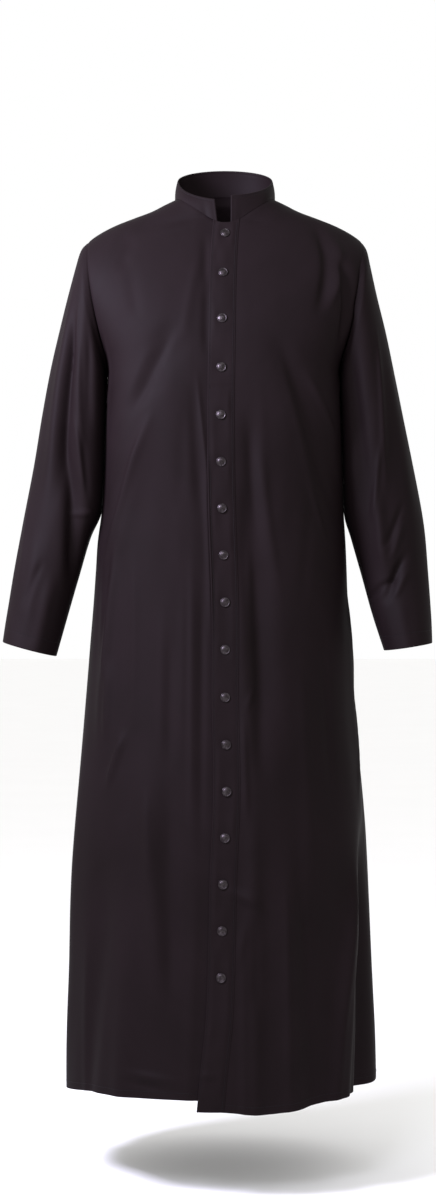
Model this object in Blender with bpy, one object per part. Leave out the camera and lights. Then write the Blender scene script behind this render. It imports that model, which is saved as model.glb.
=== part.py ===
"""Single-breasted clerical cassock in its worn form, as closed walls of cloth.

Metres, +Z up. The front faces -Y and the wearer's left is +X. The origin is the middle of the neck
base, level with the points where the shoulder seams meet the collar.

The torso and skirt are one surface. A place on it is a girth angle and a height: 0 degrees is the
middle of the front, 90 the wearer's left side, 180 the middle of the back and 270 the right side.
Each panel is a grid of such places, read once for its outer face and once for its inner face.
"""
import math
from collections import namedtuple

import bmesh
import bpy
import numpy as np
from mathutils import Vector

# Cloth and gaps
CLOTH = 0.0015
COLLAR_CLOTH = 0.0024
PLACKET_CLOTH = 0.0012
SEAM_GAP = 0.0003
LAYER_GAP = 0.0004
BUTTON_GAP = 0.0005
SLEEVE_CLEARANCE = 0.0008
PRESS_SOFTNESS = 0.0007

# Neck and shoulders
NECK_FRONT_DROP = 0.046
NECK_BACK_RISE = 0.018
NECK_FRONT_POWER = 3
NECK_BACK_POWER = 1.5
SHOULDER_TIP = -0.067

# Buttons and the placket that they close
BUTTON_COUNT = 17
BUTTON_RADIUS = 0.0075
PLACKET_HALF_WIDTH = 0.0205
UNDERLAP_FADE = 0.045
# The near edge of the placket's strip on each front, measured from the line of the buttons; the
# left front is side 1 and the right front side -1
FRONT_OFFSETS = {1: PLACKET_HALF_WIDTH, -1: -PLACKET_HALF_WIDTH}

# Collar: its rim rises from the notch at the front to the nape, and its right end sits lower
COLLAR_RIM_HALF_WIDTH = 0.0755
COLLAR_RIM_FRONT = 0.064
COLLAR_RIM_BACK = 0.056
COLLAR_RIM_HEIGHT = 0.033
COLLAR_RIGHT_DROP = 0.0415
COLLAR_LEFT_DROP = 0.0350
COLLAR_BACK_RISE = 0.026
COLLAR_BULGE = 0.0015
NOTCH_BASE = (-0.0120, 0.0088)
NOTCH_RIM = (-0.0163, 0.0090)

# Grids; the rows between two buttons are closer down to the armhole's foot than below it, and the
# rows of the back grow apart from there to the hem
UPPER_BUTTON_ROWS = 3
LOWER_BUTTON_ROWS = 2
NECK_COLUMNS = 5
SHOULDER_COLUMNS = 7
BACK_NECK_COLUMNS = 10
ARMHOLE_ROWS = 10
HEM_ROWS = 4
BACK_ROWS = 20
BACK_ROW_GROWTH = 1.3
SLEEVE_ROWS = 20
COLLAR_ROWS = 3
BUTTON_SIDES = 12

# Depth of the level sections before and behind the origin, and how square they are (2 is an ellipse)
Profile = namedtuple("Profile", "height front back squareness")
PROFILE = (
    Profile(0.030, 0.058, 0.060, 2.00),
    Profile(0.000, 0.062, 0.068, 2.00),
    Profile(-0.045, 0.067, 0.088, 2.05),
    Profile(-0.070, 0.077, 0.097, 2.15),
    Profile(-0.100, 0.090, 0.106, 2.25),
    Profile(-0.140, 0.106, 0.115, 2.45),
    Profile(-0.190, 0.121, 0.122, 2.70),
    Profile(-0.240, 0.130, 0.124, 2.95),
    Profile(-0.280, 0.134, 0.123, 3.10),
    Profile(-0.340, 0.135, 0.118, 3.05),
    Profile(-0.400, 0.134, 0.112, 2.90),
    Profile(-0.450, 0.132, 0.108, 2.75),
    Profile(-0.500, 0.131, 0.107, 2.60),
    Profile(-0.545, 0.131, 0.109, 2.50),
    Profile(-0.640, 0.134, 0.120, 2.40),
    Profile(-0.735, 0.142, 0.133, 2.25),
    Profile(-0.830, 0.152, 0.143, 2.20),
    Profile(-0.925, 0.162, 0.150, 2.20),
    Profile(-1.020, 0.173, 0.159, 2.15),
    Profile(-1.120, 0.184, 0.169, 2.10),
    Profile(-1.215, 0.195, 0.180, 2.10),
    Profile(-1.310, 0.207, 0.192, 2.10),
    Profile(-1.430, 0.222, 0.205, 2.10),
)

# Half-widths on the wearer's right and left: side seams below the arms, then the armhole seams
Width = namedtuple("Width", "height right left")
SIDES = (
    Width(-0.260, 0.1865, 0.1805),
    Width(-0.310, 0.1885, 0.1825),
    Width(-0.380, 0.1915, 0.1855),
    Width(-0.430, 0.1933, 0.1872),
    Width(-0.500, 0.1975, 0.1895),
    Width(-0.545, 0.2035, 0.1925),
    Width(-0.590, 0.2065, 0.1945),
    Width(-0.640, 0.2100, 0.1955),
    Width(-0.735, 0.2180, 0.2020),
    Width(-0.830, 0.2260, 0.2085),
    Width(-0.925, 0.2335, 0.2170),
    Width(-1.020, 0.2400, 0.2240),
    Width(-1.120, 0.2450, 0.2300),
    Width(-1.215, 0.2470, 0.2350),
    Width(-1.310, 0.2500, 0.2395),
    Width(-1.430, 0.2510, 0.2410),
)
ARMHOLE_HALF_DEPTH = 0.071
ARMHOLE = (
    Width(-0.067, 0.2183, 0.2183),
    Width(-0.100, 0.2172, 0.2160),
    Width(-0.160, 0.2105, 0.2075),
    Width(-0.215, 0.1995, 0.1960),
    Width(-0.250, 0.1915, 0.1865),
    Width(-0.280, 0.1870, 0.1810),
)

# The shoulder seam: its distance from the middle at each height
Reach = namedtuple("Reach", "height reach")
SHOULDER = (
    Reach(0.030, 0.076),
    Reach(0.000, 0.080),
    Reach(-0.010, 0.100),
    Reach(-0.020, 0.120),
    Reach(-0.030, 0.147),
    Reach(-0.040, 0.173),
    Reach(-0.050, 0.1935),
    Reach(-0.060, 0.2095),
    Reach(-0.067, 0.2183),
)

# Heights of some of the buttons, counted from the neck; the others are spaced evenly between them
ButtonHeight = namedtuple("ButtonHeight", "number height")
BUTTONS = (
    ButtonHeight(1, -0.0645),
    ButtonHeight(2, -0.1301),
    ButtonHeight(4, -0.2800),
    ButtonHeight(8, -0.5691),
    ButtonHeight(12, -0.8600),
    ButtonHeight(17, -1.2098),
)

# The line of the buttons, which wavers and swings towards the wearer's right at the hem
FrontLine = namedtuple("FrontLine", "height across")
FRONT_LINE = (
    FrontLine(-0.040, 0.0020),
    FrontLine(-0.065, -0.0002),
    FrontLine(-0.130, -0.0034),
    FrontLine(-0.205, -0.0050),
    FrontLine(-0.400, -0.0067),
    FrontLine(-0.500, -0.0050),
    FrontLine(-0.640, -0.0004),
    FrontLine(-0.790, -0.0002),
    FrontLine(-0.930, 0.0020),
    FrontLine(-1.070, -0.0036),
    FrontLine(-1.210, -0.0067),
    FrontLine(-1.280, -0.0100),
    FrontLine(-1.340, -0.0165),
    FrontLine(-1.420, -0.0240),
)

# Height of the hem round the girth; the under front hangs a little higher than the lap over it
Hem = namedtuple("Hem", "angle height")
HEM_LEFT_FRONT = (
    Hem(-12, -1.405),
    Hem(3, -1.409),
    Hem(13, -1.412),
    Hem(28, -1.408),
    Hem(47, -1.399),
    Hem(70, -1.399),
    Hem(90, -1.398),
)
HEM_BACK = (
    Hem(90, -1.398),
    Hem(135, -1.402),
    Hem(180, -1.405),
    Hem(225, -1.410),
    Hem(270, -1.413),
)
HEM_RIGHT_FRONT = (
    Hem(-90, -1.413),
    Hem(-75, -1.406),
    Hem(-60, -1.398),
    Hem(-30, -1.392),
    Hem(8, -1.391),
)

# Soft folds of the torso and skirt: a ridge where the depth is positive, a trough where negative.
# Each runs from (angle, height) to (angle, height); one that ends below the hem stays open there.
Fold = namedtuple("Fold", "from_angle from_height to_angle to_height half_width depth")
BODY_FOLDS = (
    # right of the chest and the right front of the skirt
    Fold(-33, -0.19, -54, -0.36, 0.015, -0.0045),
    Fold(-42, -0.33, -68, -0.62, 0.015, 0.0045),
    Fold(-70, -0.52, -64, -0.92, 0.015, 0.0045),
    Fold(-42, -0.84, -26, -1.32, 0.018, 0.0060),
    Fold(-31, -0.90, -21, -1.28, 0.013, -0.0055),
    Fold(-56, -0.98, -66, -1.60, 0.026, -0.0095),
    Fold(-44, -1.08, -42, -1.60, 0.020, 0.0050),
    Fold(-78, -0.80, -79, -1.60, 0.022, 0.0050),
    # left of the chest and the left front of the skirt
    Fold(30, -0.21, 67, -0.52, 0.015, -0.0065),
    Fold(15, -0.36, 20, -0.96, 0.015, -0.0065),
    Fold(11, -0.56, 15.5, -0.96, 0.012, 0.0045),
    Fold(15, -0.86, 10, -1.60, 0.013, 0.0050),
    Fold(30, -0.98, 26, -1.60, 0.020, 0.0065),
    Fold(69, -0.98, 41, -1.60, 0.025, 0.0110),
    Fold(84, -0.94, 60, -1.60, 0.030, -0.0280),
    Fold(83, -0.58, 78, -0.98, 0.016, 0.0030),
    # back: hollows beside the blades and at the waist, then flutes down to the hem
    Fold(180, -0.05, 180, -0.32, 0.032, -0.0040),
    Fold(131, -0.15, 117, -0.44, 0.017, -0.0055),
    Fold(229, -0.16, 242, -0.41, 0.017, -0.0050),
    Fold(158, -0.36, 148, -0.66, 0.018, -0.0040),
    Fold(203, -0.38, 214, -0.61, 0.018, -0.0045),
    Fold(101, -0.74, 105, -1.60, 0.024, 0.0095),
    Fold(123, -0.88, 127, -1.60, 0.022, -0.0085),
    Fold(146, -0.70, 144, -1.60, 0.024, 0.0100),
    Fold(165, -0.82, 168, -1.60, 0.022, -0.0095),
    Fold(188, -0.64, 186, -1.60, 0.024, 0.0105),
    Fold(207, -0.86, 210, -1.60, 0.022, -0.0085),
    Fold(230, -0.74, 226, -1.60, 0.023, 0.0095),
    Fold(250, -0.92, 253, -1.60, 0.022, -0.0080),
)

# Sleeve rings from the armhole to the cuff: their outermost and innermost points, the offset of
# their middle towards the front, their half-depth, how much they keep of the armhole's bow, and how
# square their inner half is (2 is an ellipse)
Ring = namedtuple("Ring", "outer_x outer_z inner_x inner_z forward half_depth bow squareness")
SLEEVE_RIGHT = (
    Ring(0.2183, -0.0670, 0.1870, -0.2800, 0.000, 0.0710, 1.00, 2.00),
    Ring(0.2295, -0.0800, 0.1878, -0.2850, 0.000, 0.0745, 0.95, 2.10),
    Ring(0.2380, -0.1064, 0.1872, -0.2940, 0.000, 0.0770, 0.80, 2.50),
    Ring(0.2505, -0.1529, 0.1868, -0.3130, 0.000, 0.0785, 0.55, 2.90),
    Ring(0.2640, -0.2090, 0.1876, -0.3430, 0.000, 0.0780, 0.30, 3.20),
    Ring(0.2785, -0.2696, 0.1890, -0.3824, 0.000, 0.0765, 0.12, 3.20),
    Ring(0.2920, -0.3416, 0.1908, -0.4304, 0.000, 0.0745, 0.03, 3.20),
    Ring(0.3064, -0.4298, 0.1960, -0.4944, 0.000, 0.0710, 0.00, 3.10),
    Ring(0.3224, -0.5184, 0.2145, -0.5400, 0.006, 0.0670, 0.00, 2.70),
    Ring(0.3352, -0.5906, 0.2319, -0.6010, 0.018, 0.0610, 0.00, 2.30),
    Ring(0.3438, -0.6542, 0.2488, -0.6630, 0.034, 0.0550, 0.00, 2.10),
    Ring(0.3503, -0.7046, 0.2659, -0.7270, 0.050, 0.0500, 0.00, 2.00),
)
SLEEVE_LEFT = (
    Ring(0.2183, -0.0670, 0.1810, -0.2800, 0.000, 0.0710, 1.00, 2.00),
    Ring(0.2264, -0.0810, 0.1817, -0.2850, 0.000, 0.0745, 0.95, 2.10),
    Ring(0.2322, -0.1064, 0.1812, -0.2940, 0.000, 0.0770, 0.80, 2.30),
    Ring(0.2436, -0.1577, 0.1808, -0.3130, 0.000, 0.0785, 0.55, 2.40),
    Ring(0.2570, -0.2138, 0.1816, -0.3430, 0.000, 0.0780, 0.30, 2.40),
    Ring(0.2708, -0.2776, 0.1830, -0.3824, 0.000, 0.0765, 0.12, 2.40),
    Ring(0.2848, -0.3464, 0.1848, -0.4304, 0.000, 0.0745, 0.03, 2.40),
    Ring(0.3017, -0.4298, 0.1888, -0.4976, 0.000, 0.0710, 0.00, 2.30),
    Ring(0.3168, -0.5184, 0.2006, -0.5400, 0.006, 0.0670, 0.00, 2.20),
    Ring(0.3226, -0.5906, 0.2166, -0.5980, 0.018, 0.0610, 0.00, 2.10),
    Ring(0.3254, -0.6542, 0.2325, -0.6590, 0.034, 0.0550, 0.00, 2.00),
    Ring(0.3263, -0.7060, 0.2506, -0.7180, 0.050, 0.0490, 0.00, 2.00),
)

# Soft folds of a sleeve: from (turn, ring) to (turn, ring), where a turn of 0 degrees is its outer
# line, 90 its front and 180 its inner line
SLEEVE_RIGHT_FOLDS = (
    Fold(62, 2.2, 120, 7.2, 0.013, 0.0040),
    Fold(64, 2.0, 88, 7.8, 0.016, -0.0080),
    Fold(76, 5.6, 154, 9.6, 0.016, -0.0080),
    Fold(60, 8.0, 84, 10.8, 0.014, 0.0030),
    Fold(215, 5.2, 262, 7.8, 0.014, -0.0045),
    Fold(290, 6.2, 236, 8.8, 0.013, 0.0040),
)
SLEEVE_LEFT_FOLDS = (
    Fold(122, 1.4, 114, 8.0, 0.020, -0.0060),
    Fold(92, 6.6, 116, 9.2, 0.012, 0.0045),
    Fold(66, 8.4, 128, 9.9, 0.010, -0.0045),
    Fold(36, 4.0, 50, 8.6, 0.015, 0.0030),
    Fold(222, 5.0, 256, 8.0, 0.014, -0.0045),
    Fold(284, 6.0, 244, 8.6, 0.013, 0.0040),
)

# A small step for the slope of a surface, and the angle from which an edge is shaded as sharp
STEP = 1e-4
SHARP_ANGLE = math.radians(40)


def smooth(stops, values, place):
    """Values on the curve through the stops: cubic pieces that share their slope at each stop."""
    order = np.argsort(stops)
    stops = np.asarray(stops, float)[order]
    values = np.asarray(values, float)[order]
    slopes = np.gradient(values, stops)
    place = np.clip(place, stops[0], stops[-1])
    piece = np.clip(np.searchsorted(stops, place) - 1, 0, len(stops) - 2)
    length = stops[piece + 1] - stops[piece]
    t = (place - stops[piece]) / length
    rise = values[piece + 1] - values[piece]
    start = slopes[piece] * length
    end = slopes[piece + 1] * length
    square = 3 * rise - 2 * start - end
    cube = start + end - 2 * rise
    return values[piece] + t * start + t ** 2 * square + t ** 3 * cube


def read(table, column, place):
    """One column of a table at each place; the table's first column is the place."""
    return smooth([row[0] for row in table], [getattr(row, column) for row in table], place)


def ease(t):
    """0 up to 0, 1 from 1 on, and a smooth step between."""
    t = np.clip(t, 0.0, 1.0)
    return t * t * (3 - 2 * t)


BUTTON_HEIGHTS = read(BUTTONS, "height", np.arange(1, BUTTON_COUNT + 1))
# The underarm is level with the fourth button
UNDERARM = BUTTON_HEIGHTS[3]
UNDERARM_BLEND = 0.045
ARMHOLE_MIDDLE = (SHOULDER_TIP + UNDERARM) / 2
ARMHOLE_HALF_HEIGHT = (SHOULDER_TIP - UNDERARM) / 2


def by_side(table, left, height):
    """A left or right half-width at each height."""
    return np.where(left, read(table, "left", height), read(table, "right", height))


def section(angle, height):
    """Half-width, depth and squareness of the level section through each place.

    Beside the armhole the section is as wide as makes it pass through the seam, whose
    half-depth is that of an ellipse from the shoulder tip to the underarm. There it passes over
    smoothly into the width at the side seams.
    """
    left = np.sin(angle) >= 0
    depth = np.where(np.cos(angle) >= 0, read(PROFILE, "front", height), read(PROFILE, "back", height))
    power = read(PROFILE, "squareness", height)
    level = (height - ARMHOLE_MIDDLE) / ARMHOLE_HALF_HEIGHT
    seam_depth = ARMHOLE_HALF_DEPTH * np.sqrt(np.clip(1 - level ** 2, 0, 1))
    beside = by_side(ARMHOLE, left, height) / (1 - (seam_depth / depth) ** power) ** (1 / power)
    below = by_side(SIDES, left, height)
    width = beside + (below - beside) * ease((UNDERARM + UNDERARM_BLEND - height) / (2 * UNDERARM_BLEND))
    return np.where(height > SHOULDER_TIP, read(SHOULDER, "reach", height), width), depth, power


def fold_relief(folds, across, along, arc):
    """Sum of the folds at each place: a bell across each one, eased in and out along it.

    The place is (across, along) and arc is the length of one unit across.
    """
    relief = np.zeros_like(arc)
    for fold in folds:
        t = (along - fold.from_height) / (fold.to_height - fold.from_height)
        middle = fold.from_angle + (fold.to_angle - fold.from_angle) * np.clip(t, 0, 1)
        off = (across - np.radians(middle) + math.pi) % (2 * math.pi) - math.pi
        bell = np.exp(-(off * arc / fold.half_width) ** 2)
        relief = relief + fold.depth * bell * ease(t * 3) * ease((1 - t) * 3)
    return relief


def body_point(angle, height):
    """Points of the outer face of the torso and skirt.

    The level section is a superellipse about the vertical axis: the powers of its two
    coordinates, each over its half-size, add up to one.
    """
    width, depth, power = section(angle, height)
    sideways = (np.abs(np.sin(angle)) / width) ** power
    forwards = (np.abs(np.cos(angle)) / depth) ** power
    radius = (sideways + forwards) ** (-1 / power)
    radius = radius + fold_relief(BODY_FOLDS, angle, height, radius)
    return np.stack([radius * np.sin(angle), -radius * np.cos(angle), height + 0 * angle], axis=-1)


def unit(vectors):
    """Vectors of length one."""
    return vectors / np.linalg.norm(vectors, axis=-1, keepdims=True)


def body_normal(angle, height):
    """Outward directions, square to the slopes along the girth and along the height."""
    girth = body_point(angle + STEP, height) - body_point(angle - STEP, height)
    rise = body_point(angle, height + STEP) - body_point(angle, height - STEP)
    return unit(np.cross(girth, rise))


def body_shell(angle, height, out):
    """Points at a distance out from the torso's outer face; a negative distance lies inside."""
    return body_point(angle, height) + body_normal(angle, height) * np.asarray(out)[..., None]


def angle_at(across, height):
    """Girth angle of the place on the front at a distance across from the middle."""
    side = np.where(np.asarray(across) >= 0, math.pi / 4, -math.pi / 4)
    width, depth, power = section(side + 0 * height, height)
    ahead = depth * (1 - (np.abs(across) / width) ** power) ** (1 / power)
    return np.arctan2(across, ahead)


def neck_height(angle):
    """Height of the neckline: lowest in the middle of the front and highest at the nape."""
    cosine = np.cos(angle)
    front = -NECK_FRONT_DROP * np.abs(cosine) ** NECK_FRONT_POWER
    back = NECK_BACK_RISE * np.abs(cosine) ** NECK_BACK_POWER
    return np.where(cosine > 0, front, back)


def armhole_place(turn, side):
    """Girth angle and height of the armhole seam at each turn from the shoulder tip.

    A turn of 90 degrees is the front of the seam, 180 the underarm and 270 its back.
    """
    height = ARMHOLE_MIDDLE + ARMHOLE_HALF_HEIGHT * np.cos(turn)
    across = by_side(ARMHOLE, side > 0, height)
    return side * np.arctan2(across, ARMHOLE_HALF_DEPTH * np.sin(turn)), height


def strip_rows():
    """Heights of the front's rows at its edge: buttons fall on rows, with rows between them."""
    parts = [np.array([-NECK_FRONT_DROP])]
    for upper, lower in zip(BUTTON_HEIGHTS, BUTTON_HEIGHTS[1:]):
        count = UPPER_BUTTON_ROWS if upper > UNDERARM else LOWER_BUTTON_ROWS
        parts.append(np.linspace(upper, lower, count + 1)[:-1])
    parts.append(BUTTON_HEIGHTS[-1:])
    return np.concatenate(parts)


def patch(top, bottom, start, end):
    """Grid between four edges: the sum of both ruled surfaces, less the one through its corners."""
    u = np.linspace(0, 1, len(top))[None, :, None]
    v = np.linspace(0, 1, len(start))[:, None, None]
    ruled = (1 - v) * top[None] + v * bottom[None] + (1 - u) * start[:, None] + u * end[:, None]
    corners = (1 - v) * ((1 - u) * top[0] + u * top[-1]) + v * ((1 - u) * bottom[0] + u * bottom[-1])
    return ruled - corners


def pair(angles, heights):
    """Places as rows of (angle, height)."""
    return np.stack(np.broadcast_arrays(angles, heights), axis=-1).astype(float)


def shoulder_edge(side, start):
    """Places along the neckline from an angle at the front to the shoulder, then down its seam."""
    neck = np.linspace(start, side * math.pi / 2, NECK_COLUMNS + 1)
    seam = np.linspace(0, SHOULDER_TIP, SHOULDER_COLUMNS + 1)[1:]
    return np.concatenate([pair(neck, neck_height(neck)), pair(side * math.pi / 2, seam)])


def front_places(side, hem):
    """Grid of places of one front, from its armhole and side seam to the far edge of the placket.

    side is 1 for the wearer's left and -1 for the right. The placket's three columns come last.
    """
    rows = strip_rows()
    near = FRONT_OFFSETS[side]
    edge = angle_at(read(FRONT_LINE, "across", rows) + near, rows)
    turns = np.linspace(0, math.pi, ARMHOLE_ROWS + 1)
    seam = pair(*armhole_place(turns, side))
    seam[[0, -1], 0] = side * math.pi / 2
    top = shoulder_edge(side, edge[0])
    top[0, 1] = neck_height(edge[0])
    columns = np.linspace(0, 1, len(top))
    under = edge[ARMHOLE_ROWS]
    bottom = pair(under + (side * math.pi / 2 - under) * columns, UNDERARM)
    start = pair(edge[:ARMHOLE_ROWS + 1], rows[:ARMHOLE_ROWS + 1])
    start[0, 1] = neck_height(edge[0])
    upper = patch(top, bottom, start, seam)
    skirt_edge = edge[ARMHOLE_ROWS + 1:, None]
    skirt = pair(skirt_edge + (side * math.pi / 2 - skirt_edge) * columns, rows[ARMHOLE_ROWS + 1:, None])
    hang = np.linspace(0, 1, HEM_ROWS + 1)[1:, None]
    line = rows[-1] + (read(hem, "height", 0.0) - rows[-1]) * hang
    edge_low = angle_at(read(FRONT_LINE, "across", line) + near, line)
    angles = edge_low + (side * math.pi / 2 - edge_low) * columns
    heights = rows[-1] + (read(hem, "height", np.degrees(angles)) - rows[-1]) * hang
    panel = np.concatenate([upper, skirt, pair(angles, heights)])
    strip = []
    for across in (0.0, -near):
        column = panel[:, 0].copy()
        column[:, 0] = angle_at(read(FRONT_LINE, "across", column[:, 1]) + across, column[:, 1])
        column[0, 1] = neck_height(column[0, 0])
        column[-1, 1] = read(hem, "height", np.degrees(column[-1, 0]))
        strip.insert(0, column[:, None])
    return np.concatenate(strip + [panel], axis=1)


def back_places():
    """Grid of places of the back, from the wearer's left side seam round to the right one."""
    quarter = math.pi / 2
    seam_down = np.linspace(SHOULDER_TIP, 0, SHOULDER_COLUMNS + 1)[:-1]
    neck = np.linspace(quarter, 3 * quarter, BACK_NECK_COLUMNS + 1)
    top = np.concatenate([
        pair(quarter, seam_down), pair(neck, neck_height(neck)), pair(3 * quarter, seam_down[::-1])])
    turns = np.linspace(2 * math.pi, math.pi, ARMHOLE_ROWS + 1)
    left = pair(*armhole_place(turns, 1))
    right = pair(*armhole_place(turns, -1))
    right[:, 0] += 2 * math.pi
    left[[0, -1], 0] = quarter
    right[[0, -1], 0] = 3 * quarter
    angles = np.linspace(quarter, 3 * quarter, len(top))
    upper = patch(top, pair(angles, UNDERARM), left, right)
    fall = np.linspace(0, 1, BACK_ROWS + 1)[1:, None] ** BACK_ROW_GROWTH
    heights = UNDERARM + (read(HEM_BACK, "height", np.degrees(angles)) - UNDERARM) * fall
    return np.concatenate([upper, pair(angles, heights)])


def clear_of_seams(places, low, high):
    """Places kept half a seam gap away from the side and shoulder seams at these angles."""
    gap = SEAM_GAP / 2 / section(places[..., 0], places[..., 1])[0]
    kept = places.copy()
    kept[..., 0] = np.clip(places[..., 0], low + gap, high - gap)
    return kept


def underlap(places):
    """How far the under front lies inside the torso's face: wholly under the placket, then less."""
    point = body_point(places[..., 0], places[..., 1])
    edge = read(FRONT_LINE, "across", places[..., 1]) - PLACKET_HALF_WIDTH
    return -(CLOTH + LAYER_GAP) * (1 - ease((edge - point[..., 0]) / UNDERLAP_FADE))


def triangles(number, turned=False):
    """Two triangles for each cell of a grid of point numbers, split along the same diagonal
    whichever way they face, so that layers cut alike lie parallel."""
    first = number[:-1, :-1]
    second = number[:-1, 1:]
    third = number[1:, 1:]
    fourth = number[1:, :-1]
    cells = np.stack([first, second, third, first, third, fourth], axis=-1).reshape(-1, 3)
    return cells[:, ::-1] if turned else cells


def wall(name, outer, inner, finish, tube=False):
    """A closed wall between two grids of points. The last column of a tube meets its first."""
    rows, columns = outer.shape[:2]
    number = np.arange(rows * columns).reshape(rows, columns)
    if tube:
        number = np.concatenate([number, number[:, :1]], axis=1)
    inside = number + rows * columns
    faces = [triangles(number), triangles(inside, turned=True)]
    edges = [(number[0], inside[0]), (inside[-1], number[-1])]
    if not tube:
        edges += [(inside[:, 0], number[:, 0]), (number[:, -1], inside[:, -1])]
    faces += [triangles(np.stack(edge)) for edge in edges]
    points = np.concatenate([outer.reshape(-1, 3), inner.reshape(-1, 3)])
    mesh = bpy.data.meshes.new(name)
    mesh.from_pydata(points.tolist(), [], np.concatenate(faces).tolist())
    return place_mesh(name, mesh, finish)


def place_mesh(name, mesh, finish):
    """Put a mesh in the scene with its faces pointing out and smooth shading."""
    work = bmesh.new()
    work.from_mesh(mesh)
    bmesh.ops.recalc_face_normals(work, faces=work.faces)
    work.to_mesh(mesh)
    work.free()
    mesh.shade_smooth()
    mesh.set_sharp_from_angle(angle=SHARP_ANGLE)
    mesh.materials.append(finish)
    made = bpy.data.objects.new(name, mesh)
    bpy.context.scene.collection.objects.link(made)
    return made


def in_places(places, out):
    """Points of the torso at these places and distance out."""
    return body_shell(places[..., 0], places[..., 1], out + 0 * places[..., 0])


def make_fronts(cloth):
    """Both fronts and the placket's band on the left one. Returns the places of each front."""
    quarter = math.pi / 2
    left = clear_of_seams(front_places(1, HEM_LEFT_FRONT), -quarter, quarter)
    wall("front_left", in_places(left, 0.0), in_places(left, -CLOTH), cloth)
    band = left[:, :3]
    wall("placket", in_places(band, SEAM_GAP + PLACKET_CLOTH), in_places(band, SEAM_GAP), cloth)
    right = clear_of_seams(front_places(-1, HEM_RIGHT_FRONT), -quarter, quarter)
    under = underlap(right)
    wall("front_right", in_places(right, under), in_places(right, under - CLOTH), cloth)
    return left, right


def make_back(cloth):
    """The back panel."""
    places = clear_of_seams(back_places(), math.pi / 2, 3 * math.pi / 2)
    wall("back", in_places(places, 0.0), in_places(places, -CLOTH), cloth)


def sleeve_point(rings, folds, side, turn, place):
    """Points of a sleeve's outer face at each turn and ring number.

    A ring passes through its outer and inner points, and its depth runs front to back. Its outer
    half is half an ellipse, and its inner half, against the body, can be squarer. Near the armhole
    it keeps part of that seam's bow away from the flat ring.
    """
    column = {name: smooth(range(len(rings)), [getattr(ring, name) for ring in rings], place)
              for name in Ring._fields}
    cosine = np.cos(turn)
    seam_x = by_side(ARMHOLE, side > 0, ARMHOLE_MIDDLE + ARMHOLE_HALF_HEIGHT * cosine)
    flat_x = (rings[0].outer_x * (1 + cosine) + rings[0].inner_x * (1 - cosine)) / 2
    middle_x = (column["outer_x"] + column["inner_x"]) / 2 + column["bow"] * (seam_x - flat_x)
    middle_z = (column["outer_z"] + column["inner_z"]) / 2
    power = np.where(cosine < 0, column["squareness"], 2.0)
    reach = (np.abs(cosine) ** power + np.abs(np.sin(turn)) ** power) ** (-1 / power)
    spoke = reach[..., None] * np.stack([
        cosine * (column["outer_x"] - column["inner_x"]) / 2,
        -np.sin(turn) * column["half_depth"],
        cosine * (column["outer_z"] - column["inner_z"]) / 2], axis=-1)
    length = np.linalg.norm(spoke, axis=-1)
    relief = fold_relief(folds, turn, place, length)
    spoke = spoke * (1 + relief / length)[..., None]
    middle = np.stack([middle_x, -column["forward"], middle_z], axis=-1)
    return rest_on_torso((middle + spoke) * (side, 1, 1))


def rest_on_torso(points):
    """Press sleeve points out, away from the torso's axis, where they would enter its side.

    The pressed distance is the soft maximum of a point's own distance from the axis and that of
    the torso's face with the sleeve's clearance.
    """
    angle = np.arctan2(points[..., 0], -points[..., 1])
    height = points[..., 2]
    face = body_point(angle, height)[..., :2]
    least = np.linalg.norm(face, axis=-1) + SLEEVE_CLEARANCE
    own = np.linalg.norm(points[..., :2], axis=-1)
    pressed = (own + least) / 2 + np.hypot((own - least) / 2, PRESS_SOFTNESS)
    share = np.where(height < UNDERARM, pressed / own, 1.0)
    return points * np.stack([share, share, np.ones_like(share)], axis=-1)


def make_sleeve(name, rings, folds, side, cloth):
    """A sleeve: a tube from just outside the armhole seam to the cuff."""
    turns = np.linspace(0, 2 * math.pi, 2 * ARMHOLE_ROWS, endpoint=False)
    turn, place = np.meshgrid(turns, np.linspace(0, len(rings) - 1, SLEEVE_ROWS + 1))
    outer = sleeve_point(rings, folds, side, turn, place)
    round_step = (sleeve_point(rings, folds, side, turn + STEP, place)
                  - sleeve_point(rings, folds, side, turn - STEP, place))
    ahead = np.minimum(place + STEP, len(rings) - 1)
    behind = np.maximum(place - STEP, 0)
    down_step = (sleeve_point(rings, folds, side, turn, ahead)
                 - sleeve_point(rings, folds, side, turn, behind))
    normal = unit(np.cross(round_step, down_step)) * side
    angle, height = armhole_place(turns, side)
    seam = body_point(angle, height)
    panel_normal = body_normal(angle, height)
    seam_run = np.roll(seam, -1, axis=0) - np.roll(seam, 1, axis=0)
    away = unit(np.cross(panel_normal, seam_run)) * side
    level = ease(np.sum(panel_normal * normal[0], axis=-1) * 2)[:, None]
    outer[0] = seam + SEAM_GAP * (away + (1 - level) * panel_normal)
    normal[0] = unit(level * panel_normal + (1 - level) * normal[0])
    wall(name, outer, outer - CLOTH * normal, cloth, tube=True)


def collar_point(angle, lift):
    """Points of the collar's outer face; lift is 0 on the neckline and 1 on the rim.

    The rim is an ellipse in a tilted plane, and the band between bows out a little.
    """
    base = body_point(angle, neck_height(angle)) + np.array([0, 0, LAYER_GAP])
    depth = np.where(np.cos(angle) > 0, COLLAR_RIM_FRONT, COLLAR_RIM_BACK)
    rim_x = COLLAR_RIM_HALF_WIDTH * np.sin(angle)
    rim_y = -depth * np.cos(angle)
    front_drop = np.where(np.sin(angle) < 0, COLLAR_RIGHT_DROP, COLLAR_LEFT_DROP)
    fall = np.where(np.cos(angle) > 0, front_drop, COLLAR_BACK_RISE)
    rim_z = COLLAR_RIM_HEIGHT - fall * np.cos(angle)
    rim = np.stack([rim_x, rim_y, rim_z], axis=-1)
    outward = np.stack([np.sin(angle), -np.cos(angle), 0 * angle], axis=-1)
    share = np.asarray(lift)[..., None]
    return base + (rim - base) * share + outward * COLLAR_BULGE * np.sin(math.pi * share)


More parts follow.
